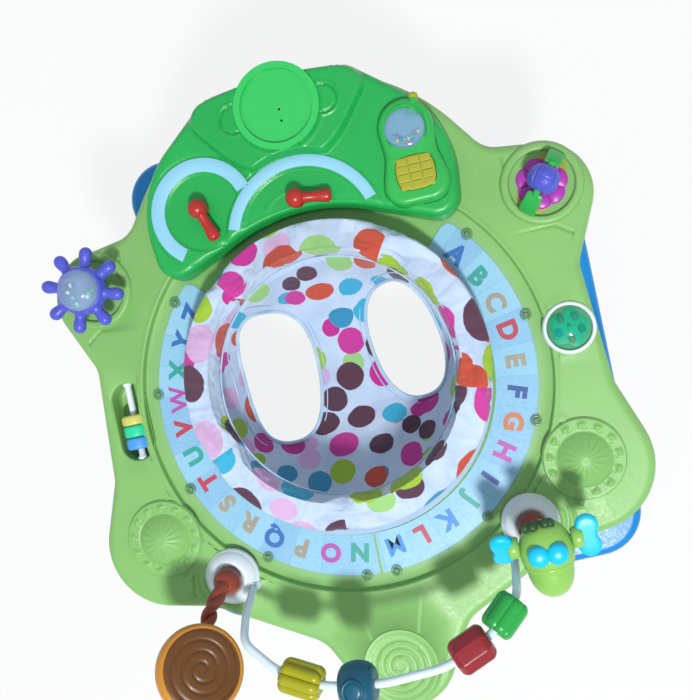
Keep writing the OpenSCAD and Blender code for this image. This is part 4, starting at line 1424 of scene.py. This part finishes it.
def wire_path():
    """The bead wire's centre line with its corners rounded."""
    corners = WIRE_RIGHT + [(0, -304, 538)] + [(-x, y, z) for x, y, z in reversed(WIRE_RIGHT)]
    lift = TOP - 408 * MM
    corners = [Vector(p) * MM + Vector((0, 0, lift)) for p in corners]
    path = [corners[0]]
    for before, p, after in zip(corners, corners[1:], corners[2:]):
        a, b = (before - p), (after - p)
        reach = min(14 * MM, a.length * 0.3, b.length * 0.3)
        start, end = p + a.normalized() * reach, p + b.normalized() * reach
        for k in range(7):
            t = k / 6
            path.append(start * (1 - t) ** 2 + p * 2 * t * (1 - t) + end * t ** 2)
    path.append(corners[-1])
    return path


def make_wire():
    s = Shell()
    path = wire_path()
    radius = 4.6 * MM
    s.tube(path, radius, 28)
    for foot in (path[0], path[-1]):
        s.lathe([(8.4 * MM, foot.z - 2 * MM), (8 * MM, foot.z + 2 * MM), (6.4 * MM, foot.z + 5 * MM),
                 (5 * MM, foot.z + 7 * MM), (4.7 * MM, foot.z + 12 * MM)], (foot.x, foot.y, 0), 32)
    s.piece("wire_loop", "tray", wire_white, ["bead_wire"], "white_plastic")


make_wire()


def bead_place(name):
    joint = next(j for j in frame["joints"] if j["name"] == name + "_spin")
    axis = Vector(joint["axis"]).normalized()
    return Matrix.Translation(mid(name)) @ axis.to_track_quat("Z", "Y").to_matrix().to_4x4()


def make_bead(name, radius, length, depth, bevel, material, turn=0.0, power=1.0, smooth=35):
    """A bead along its wire: a fluted or faceted barrel with a bore."""
    s = Shell()
    place = bead_place(name)
    sides = 8
    count = 144
    a = np.arange(count) * TAU / count
    half = length / 2
    steps = [(-half, -bevel * 1.35), (-half + 0.8, -bevel), (-half + 2.2, -bevel * 0.55),
        (-half + 5, -bevel * 0.12),
             (-half + 7, 0)]
    steps += [(h, 0) for h in np.linspace(-half + 8, half - 8, 9)]
    steps += [(-h, g) for h, g in reversed(steps[:5])]
    rings = []
    for h, g in steps:
        if depth > 0:
            r = radius - depth * (1 - np.abs(np.cos(a * sides / 2 + turn)) ** power)
        else:
            wedge = (a + turn) % (TAU / sides) - math.pi / sides
            r = radius * math.cos(math.pi / sides) / np.cos(wedge)
            r = r * 0.93 + 0.07 * radius * math.cos(math.pi / sides)
        rings.append(placed(place, (r + g) * np.cos(a), (r + g) * np.sin(a), h))
    bore = [placed(place, 5.1 * np.cos(a), 5.1 * np.sin(a), h) for h in (-half + 0.6, half - 0.6)]
    s.loft([bore[0]] + rings + [bore[1]], loop=True)
    s.piece("wire_" + name, name + "_body", material, [name], name, smooth=smooth)


make_bead("bead_yellow", 19.5, 45, 3.6, 4.2, yellow, power=0.7)
make_bead("bead_red", 20.6, 42, 0, 4.4, red, turn=0.2, smooth=24)
make_bead("bead_green", 18.6, 40, 2.2, 3.0, green, power=0.5, turn=0.3)


def make_blue_bead():
    s = Shell()
    place = bead_place("bead_blue")
    profile = [(5.2, -19), (12, -19.4), (17, -18.4), (20.6, -15.6), (23, -11.5), (24.5, -6), (25, 0),
        (24.5, 6),
               (23, 11.5), (20.6, 15.6), (17, 18.4), (12, 19.4), (5.2, 19)]
    s.lathe(in_mm(profile), place=place, count=96, loop=True)
    out = (place.to_3x3().inverted() @ Vector((0, 0.1, 1))).normalized()
    out = Vector((out.x, out.y, 0)).normalized()
    world = (place.to_3x3() @ out).normalized()
    turn = world.to_track_quat("Z", "Y").to_matrix().to_4x4()
    spot = Matrix.Translation(place.translation + world * 24.4 * MM) @ turn
    button = [
        (12.4, -3), (12.2, -0.6), (11.2, 0.4), (10.2, 0.2), (9.7, -0.7), (9.3, -0.6), (8.6, 0.3), (6, 0.9),
        (0, 1.1)]
    s.lathe(in_mm(button), place=spot, count=48)
    s.piece("wire_bead_blue", "bead_blue_body", blue, ["bead_blue"], "bead_blue", smooth=45)


make_blue_bead()

# ---------------------------------------------------------------- alphabet ring


def make_letters():
    """Plain block letters round the card, tops outward, each in its own ink."""
    inks = [
        ink_blue, ink_teal, ink_tan, ink_crimson, ink_tan, ink_navy, ink_orange, ink_magenta, ink_navy,
        ink_teal, ink_cyan, ink_crimson, ink_cyan, ink_teal, ink_magenta, ink_tan, ink_blue, ink_tan, ink_tan,
        ink_crimson, ink_teal, ink_crimson, ink_magenta, ink_teal, ink_blue, ink_blue]
    z = CARD + 1.32 * MM
    made = []
    for k, letter in enumerate("ABCDEFGHIJKLMNOPQRSTUVWXYZ"):
        curve = bpy.data.curves.new("letter_" + letter, "FONT")
        curve.body = letter
        curve.size = 29.5 * MM
        curve.align_x = "CENTER"
        curve.align_y = "CENTER"
        curve.offset = (0.8 if letter in "MW" else 1.45) * MM
        curve.extrude = 0.08 * MM
        curve.resolution_u = 6
        obj = add_object("letter_" + letter, curve)
        degrees = 36.5 - LETTER_STEP * k - (2.4 if k > 12 else 0)
        a = math.radians(degrees)
        radius = 201.5 - 4 * float(bump(degrees + 80, 50))
        wobble = math.radians(6 * math.sin(k * 2.3))
        obj.matrix_world = (
            Matrix.Rotation(a, 4, "Z") @ Matrix.Translation((radius * MM, 0, z))
            @ Matrix.Rotation(-math.pi / 2 + wobble, 4, "Z"))
        bpy.context.view_layer.update()
        mesh = bpy.data.meshes.new_from_object(obj.evaluated_get(bpy.context.evaluated_depsgraph_get()))
        mesh.transform(obj.matrix_world)
        mesh.materials.clear()
        mesh.materials.append(inks[k])
        bpy.data.objects.remove(obj)
        solid = add_object("letter_" + letter, mesh)
        made.append(solid)
    bpy.ops.object.select_all(action="DESELECT")
    for obj in made:
        obj.select_set(True)
    bpy.context.view_layer.objects.active = made[0]
    bpy.ops.object.join()
    letters = bpy.context.view_layer.objects.active
    letters.name = "card_letters"
    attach(letters, "tray")
    return letters


make_letters()


def make_card():
    """The printed card and its clear cover: two sheets each, which meet in front of the seat."""
    halves = ((45.6, -90.1), (-90.9, -225.6))
    card, cover = Shell(), Shell()
    for start, end in halves:
        for shell, inner, outer, low_z, high_z, edge in (
                (card, 178.2, 226.5, 0.05, 1.2, 0.3), (cover, 178.2, 232.4, 1.25, 3.0, 0.6)):
            count = 150
            rings = []
            for k in range(count + 1):
                t = k / count
                a = math.radians(start + (end - start) * t)
                # the end by the play panel is rounded
                away = (t if start > 0 else 1 - t) * abs(start - end) * math.radians(1) * 203
                pull = 9 - math.sqrt(max(0, 81 - (9 - min(away, 9)) ** 2))
                r0, r1 = inner + pull, outer - pull
                section = [(r0, low_z), (r0, high_z - edge), (r0 + edge, high_z), ((r0 + r1) / 2, high_z),
                           (r1 - edge, high_z), (r1, high_z - edge), (r1, low_z)]
                rings.append(
                    [(r * MM * math.cos(a), r * MM * math.sin(a), CARD + z * MM) for r, z in section])
            shell.loft(rings, closed=True, cap_start=True, cap_end=True)
    card.piece("card_sheet", "tray", printed_card, ["alphabet_card"], "printed_card", smooth=30)
    cover.piece("card_cover", "tray", cover_clear, ["alphabet_cover"], "clear_cover", smooth=30)


make_card()


def make_tabs():
    """Clear cover tabs with a screw in each, round the card's edge."""
    s = Shell()
    tab = [(6.6, 0.2), (6.5, 3.6), (6.1, 4.4), (5.2, 4.8), (4.1, 4.8), (3.5, 4.3), (3.3, 3.2)]
    screw = [(3.1, 2.6), (3.0, 4.2), (2.4, 4.8), (1.4, 5.0), (0.8, 4.8), (0, 4.3)]
    for angle in (38, 9, -22, -54, -86, -95, -126, -158, 171, 142):
        a = math.radians(angle)
        spot = (227 * MM * math.cos(a), 227 * MM * math.sin(a), 0)
        s.mark = 0
        s.lathe(in_mm(tab, CARD), spot, 40)
        s.mark = 1
        s.lathe(in_mm(screw, CARD), spot, 32)
    s.piece("cover_tabs", "tray", [tab_clear, screw_grey], ["cover_screws"], "clear_cover", smooth=40)


make_tabs()

# ---------------------------------------------------------------- seat


def ring_noise(angle, other, scale, seed):
    """Smooth noise that closes on itself round a circle."""
    return noise.noise(Vector((math.cos(angle) * scale, math.sin(angle) * scale, other + seed)))


SEAMS = (-16, 57, 130, 202, 263)     # radial seams of the padded rim, in degrees


def seam_angle(theta):
    """Angle to the nearest radial seam, in degrees."""
    degrees = math.degrees(theta) % 360
    return min(abs((degrees - s + 180) % 360 - 180) for s in SEAMS)


def set_flat_coordinates(obj, values):
    layer = obj.data.uv_layers.new(name="cloth")
    flat = np.array(values, dtype=np.float32).ravel()
    layer.data.foreach_set("uv", flat)


def make_pad():
    lo, hi = low("seat_pad"), high("seat_pad")
    centre = (lo + hi) / 2
    section = (hi.z - lo.z) / 2
    ring = (hi.x - lo.x) / 2 - section
    around, across = 336, 56
    top_seam, inner_seam, under_seam = 121, 203, 318
    verts, pins = [], []
    start = 0.885 * section
    for i in range(around):
        theta = TAU * i / around
        radial = seam_angle(theta) * math.radians(1) * ring
        for j in range(across):
            phi = TAU * j / across
            degrees = math.degrees(phi)
            r = start
            pin = 0
            for seam in (top_seam, inner_seam, under_seam):
                if abs((degrees - seam + 180) % 360 - 180) < 180 / across * 1.01:
                    pin = 1
                    r -= 0.5 * MM
            if radial < 1.6 * MM:
                pin = 1
            x = ring + r * math.cos(phi)
            verts.append((centre.x + x * math.cos(theta), centre.y + x * math.sin(theta),
                centre.z + r * math.sin(phi)))
            pins.append(pin)
    faces, flat = [], []
    for i in range(around):
        panel = sum(1 for s in SEAMS if (s % 360) <= 360 * (i + 0.5) / around)
        shift = (0.137 * panel, 0.291 * panel)
        for j in range(across):
            faces.append((
                i * across + j, (i + 1) % around * across + j,
                (i + 1) % around * across + (j + 1) % across, i * across + (j + 1) % across))
            degrees = 360 * (j + 0.5) / across
            cut = 0.006 if top_seam < degrees < inner_seam else 0.0
            cut += 0.05 if inner_seam < degrees < under_seam else 0.0
            for a, b in ((i, j), (i + 1, j), (i + 1, j + 1), (i, j + 1)):
                flat.append((TAU * a / around * ring + shift[0] + cut, TAU * b / across * section + shift[1]))
    mesh = bpy.data.meshes.new("rim_pad")
    mesh.from_pydata(verts, [], faces)
    mesh.polygons.foreach_set("use_smooth", [True] * len(faces))
    obj = add_object("rim_pad", mesh)
    rest = np.array(verts)
    moved = inflate(obj, pins, 20)
    limit = 0.985 * section
    final = []
    for k, (p, q) in enumerate(zip(rest, moved)):
        i, j = divmod(k, across)
        theta, phi = TAU * i / around, TAU * j / across
        axis = Vector((centre.x + ring * math.cos(theta), centre.y + ring * math.sin(theta), centre.z))
        out = Vector(q) - axis
        degrees = math.degrees(phi)
        radial = seam_angle(theta) * math.radians(1) * ring
        puff = 1.6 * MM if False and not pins[k] else 0
        crumple = ring_noise(theta, degrees / 50, 16, 3) * 0.9 * MM
        crumple += ring_noise(theta, degrees / 90, 46, 8) * 0.55 * MM
        pucker = math.sin(theta * 95 + 3 * ring_noise(theta, 0, 6, 1))
        for seam, reach in ((top_seam, 24), (inner_seam, 30)):
            away = abs((degrees - seam + 180) % 360 - 180)
            crumple += 0.5 * MM * pucker * math.exp(-((away - 9) / reach * 2) ** 2)
        crumple -= 1.3 * MM * math.exp(-(radial / (2.2 * MM)) ** 2)
        crumple += 0.45 * MM * math.sin(phi * 9 + theta * 40) * math.exp(-((radial - 7 * MM) / (7 * MM)) ** 2)
        length = min(out.length + puff + crumple, limit)
        final.append(axis + out.normalized() * length)
    mesh.vertices.foreach_set("co", np.array(final, dtype=np.float32).ravel())
    mesh.update()
    set_flat_coordinates(obj, flat)
    mesh.materials.append(pad_cloth)
    smooth = obj.modifiers.new("smooth", "SUBSURF")
    smooth.levels = smooth.render_levels = 1
    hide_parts("seat_pad")
    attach(obj, "seat")
    piping = Shell()
    phi = math.radians(inner_seam)
    x = ring + (0.9 * section) * math.cos(phi)
    path = []
    for k in range(300):
        theta = TAU * k / 300
        wave = 0.8 * MM * ring_noise(theta, 0, 5, 6)
        path.append((
            centre.x + x * math.cos(theta), centre.y + x * math.sin(theta),
            centre.z + 0.9 * section * math.sin(phi) + wave))
    piping.tube(path, 1.0 * MM, 10, closed=True)
    trim = piping.piece("rim_piping", "seat", binding, (), "dotted_fabric", smooth=80)


def inflate(obj, pins, frames):
    """Blows the piece up with Blender's Cloth while its seams stay pinned. Returns the new points."""
    group = obj.vertex_groups.new(name="seams")
    group.add([i for i, pin in enumerate(pins) if pin], 1.0, "REPLACE")
    cloth = obj.modifiers.new("cloth", "CLOTH")
    settings = cloth.settings
    settings.quality = 6
    settings.mass = 0.25
    settings.tension_stiffness = settings.compression_stiffness = 12
    settings.shear_stiffness = 4
    settings.bending_stiffness = 0.4
    settings.use_pressure = True
    settings.uniform_pressure_force = 4
    settings.shrink_min = -0.05
    settings.vertex_group_mass = "seams"
    settings.pin_stiffness = 1
    settings.effector_weights.gravity = 0
    cloth.collision_settings.use_collision = False
    cloth.point_cache.frame_start = 1
    cloth.point_cache.frame_end = frames
    for k in range(1, frames + 1):
        bpy.context.scene.frame_set(k)
    shape = obj.evaluated_get(bpy.context.evaluated_depsgraph_get()).data
    moved = np.empty(len(shape.vertices) * 3, dtype=np.float32)
    shape.vertices.foreach_get("co", moved)
    obj.modifiers.remove(cloth)
    bpy.context.scene.frame_set(1)
    return moved.reshape(-1, 3).astype(float)


make_pad()

BUCKET_EDGE = 148 * MM
BUCKET = [(0, 305), (60, 305.4), (84, 307), (98, 311), (110, 319), (120, 330.5), (130, 348), (137, 369),
    (143, 389), (148, 402)]
LEG_HOLES = (((-85, 22), (43, 84), -3), ((77, 36), (45, 75), 8))


def bucket_profile(r):
    return np.interp(r, [p[0] * MM for p in BUCKET], [p[1] * MM for p in BUCKET]) + (CARD - 400 * MM)


def bucket_arc(r):
    """Distance along the bucket's wall from its middle."""
    steps = np.linspace(0, BUCKET_EDGE, 120)
    heights = bucket_profile(steps)
    arcs = np.r_[0, np.cumsum(np.hypot(np.diff(steps), np.diff(heights)))]
    return np.interp(r, steps, arcs)


def leg_hole(index, grow=0.0, count=88):
    (cx, cy), (a, b), tilt = LEG_HOLES[index]
    turn = math.radians(tilt)
    points = []
    for x, y in squircle(a + grow, b + grow, count, 2.35):
        points.append((
            (cx + x * math.cos(turn) - y * math.sin(turn)) * MM,
            (cy + x * math.sin(turn) + y * math.cos(turn)) * MM))
    return np.array(points)


def bucket_height(p):
    r = np.hypot(p[:, 0], p[:, 1])
    z = bucket_profile(r)
    sag = np.zeros(len(p))
    edge = np.minimum(distance_to(p, leg_hole(0)), distance_to(p, leg_hole(1)))
    for k, (x, y) in enumerate(p):
        a = math.atan2(y, x)
        folds = noise.noise(Vector((x * 22, y * 22, 1.3))) * 3.2
        folds += noise.noise(Vector((x * 60, y * 60, 4.1))) * 1.1
        steep = smoothstep(0.085, 0.125, r[k])
        folds += steep * 2.6 * ring_noise(a, r[k] * 12, 9, 2)
        sag[k] = folds * MM
    return z + sag + 1.6 * MM * bump(edge - 6 * MM, 6 * MM)


def make_bucket():
    s = Shell()
    outer = ring2d((0, 0), BUCKET_EDGE, 260)
    holes = [leg_hole(0), leg_hole(1)]
    features = [leg_hole(k, g) for k in (0, 1) for g in (2.5, 6, 9)]
    features = [f for f in features if np.hypot(*f.T).max() < 147 * MM]
    plate(s, outer, holes, features, bucket_height, spacing=3.6)
    rim = bucket_height(outer)
    collar = ring2d((0, 0), 151 * MM, 260)
    s.loft([np.c_[outer, rim], np.c_[collar, np.full(260, CARD + 12.5 * MM)]])
    obj = s.piece("bucket_cloth", "seat", bucket_cloth, ["seat_bucket"], "dotted_fabric", smooth=80)
    mesh = obj.data
    points = np.empty(len(mesh.vertices) * 3)
    mesh.vertices.foreach_get("co", points)
    points = points.reshape(-1, 3)
    turn = -SEAT_TURN
    r = np.hypot(points[:, 0], points[:, 1])
    a = np.arctan2(points[:, 1], points[:, 0]) + turn
    arc = bucket_arc(r)
    corner = np.empty(len(mesh.loops), dtype=np.int32)
    mesh.loops.foreach_get("vertex_index", corner)
    flat = np.c_[arc * np.cos(a), arc * np.sin(a)][corner]
    set_flat_coordinates(obj, flat)
    thick = obj.modifiers.new("thick", "SOLIDIFY")
    thick.thickness = 2.6 * MM
    thick.offset = -1 if mesh.polygons[0].normal.z > 0 else 1
    hems = Shell()
    for k in (0, 1):
        for grow, lift, size in ((0.6, 0.6, 2.5), (7.6, 1.0, 0.7)):
            loop = leg_hole(k, grow, 150)
            z = bucket_height(loop) + lift * MM
            hems.tube([(x, y, h) for (x, y), h in zip(loop, z)], size * MM, 12, closed=True)
    hem = hems.piece("leg_hems", "seat", binding, (), "dotted_fabric", smooth=80)


make_bucket()

# ---------------------------------------------------------------- base


def base_height(p):
    z = np.full(len(p), BASE_TOP)
    for x in (-284, 284):
        for y in (185, -160):
            near = distance_to(p, stadium((x * MM, y * MM), 30 * MM, 26 * MM, 40))
            z += 1.2 * MM * bump(near - 3 * MM, 4 * MM)
    outline = chain(WELL_CHAIN, 0, 4)
    z += 2.0 * MM * bump(distance_to(p, outline) - 12 * MM, 6 * MM)
    return z


def make_base():
    s = Shell()
    z0 = BASE_LOW
    steps = [(-14, BASE_TOP)] + fillet(0, BASE_TOP, 13, 9) + [
        (0.4, z0 + 16 * MM), (1.2, z0 + 14 * MM), (1.2, z0 + 4 * MM), (0.4, z0 + 1 * MM), (-1.4, z0),
        (-3.6, z0 + 1 * MM),
        (-4, z0 + 6 * MM)]
    s.outline(BASE_CHAIN, steps, chord=6)
    inner = [(12, BASE_TOP)] + [(12 - 12 * math.sin(a), BASE_TOP - 12 * MM * (1 - math.cos(a)))
                                for a in quarter(7, 1)]
    inner += [(0, z0 + 4 * MM), (0.8, z0 + 1 * MM), (2, z0), (3.6, z0 + 1 * MM), (4, z0 + 6 * MM)]
    s.outline(WELL_CHAIN, inner, chord=6)
    s.follow(base_height, BASE_TOP, 12 * MM)
    plate(s, chain(BASE_CHAIN, -14, 6), [chain(WELL_CHAIN, 12, 6)], [], base_height, spacing=8)
    s.piece("base_shell", "base", base_blue, ["base_top"], "base_blue", smooth=60)


make_base()

# ---------------------------------------------------------------- CAD nodes that stay


def dress(node, material, width=0.0, segments=3, angle=35):
    """Gives a CAD node its material and rounds its sharp edges."""
    obj = frame["nodes"][node]
    obj.data.materials.clear()
    obj.data.materials.append(material)
    if width:
        weld = obj.modifiers.new("weld", "WELD")
        weld.merge_threshold = 0.01 * MM
        flat = obj.modifiers.new("flat", "DECIMATE")
        flat.decimate_type = "DISSOLVE"
        flat.angle_limit = math.radians(1)
        edge = obj.modifiers.new("edge", "BEVEL")
        edge.width = width * MM
        edge.segments = segments
        edge.limit_method = "ANGLE"
        edge.angle_limit = math.radians(angle)
        edge.harden_normals = True
    return obj


dress("tray_bottom", tray_green)
dress("leg_posts", white, 0.8)
# the seat ring carries painted shade: the colour of the shaded fabric skirt over it
dress("seat_ring", rim_painted_shade)
dress("seat_retainer", white)
dress("base_pan", base_blue)
dress("friction_pads", pad_rubber, 3)
for corner in ("fl", "fr", "rl", "rr"):
    dress("leg_tower_" + corner, base_blue, 1.2)
    dress("height_button_" + corner, button_red, 1)
    dress("caster_fork_" + corner, grey, 0.8)
    dress("caster_wheel_" + corner, wheel_rubber, 1.5)

# ---------------------------------------------------------------- floor, light and camera


def make_stage():
    n = Nodes("floor")
    n.colour(n.ramp(n.noise(0.8, 3), [(0.3, (0.1, 0.1, 0.1, 1)), (0.7, (0.12, 0.12, 0.12, 1))]))
    n.shader.inputs["Roughness"].default_value = 0.9
    n.shader.inputs["Specular IOR Level"].default_value = 0
    n.shader.inputs["Emission Color"].default_value = (1, 1, 1, 1)
    n.shader.inputs["Emission Strength"].default_value = 0.84
    mesh = bpy.data.meshes.new("floor")
    size = 12
    mesh.from_pydata([(-size, -size, 0), (size, -size, 0), (size, size, 0), (-size, size, 0)], [],
        [(0, 1, 2, 3)])
    mesh.materials.append(n.material)
    floor = add_object("floor", mesh)


def make_light(name, place, target, size, power, colour):
    data = bpy.data.lights.new(name, "AREA")
    data.size = size
    data.energy = power
    data.color = colour
    lamp = add_object(name, data)
    lamp.location = place
    lamp.rotation_euler = (Vector(target) - Vector(place)).to_track_quat("-Z", "Y").to_euler()


def make_camera():
    data = bpy.data.cameras.new("camera")
    data.sensor_width = 36
    data.lens = 46.3
    data.dof.use_dof = False
    camera = add_object("camera", data)
    ahead = Vector((-0.15689, -0.00778, -0.98759)).normalized()
    up = Vector((0.21095, 0.97663, -0.04120))
    right = ahead.cross(up).normalized()
    up = right.cross(ahead)
    turn = Matrix((right, up, -ahead)).transposed()
    camera.matrix_world = Matrix.Translation((0.1792, 0.0481, CARD + 1.0478)) @ turn.to_4x4()
    bpy.context.scene.camera = camera


def make_world():
    world = bpy.data.worlds.new("world")
    world.use_nodes = True
    world.node_tree.nodes["Background"].inputs["Color"].default_value = (0.90, 0.96, 1.0, 1)
    world.node_tree.nodes["Background"].inputs["Strength"].default_value = 0.6
    bpy.context.scene.world = world
    bpy.context.scene.view_settings.view_transform = "Standard"


make_stage()
make_light("key", (0.30, -1.30, 3.1), (0, 0, 0.4), 0.3, 84, (1.0, 0.99, 0.96))
make_camera()
make_world()
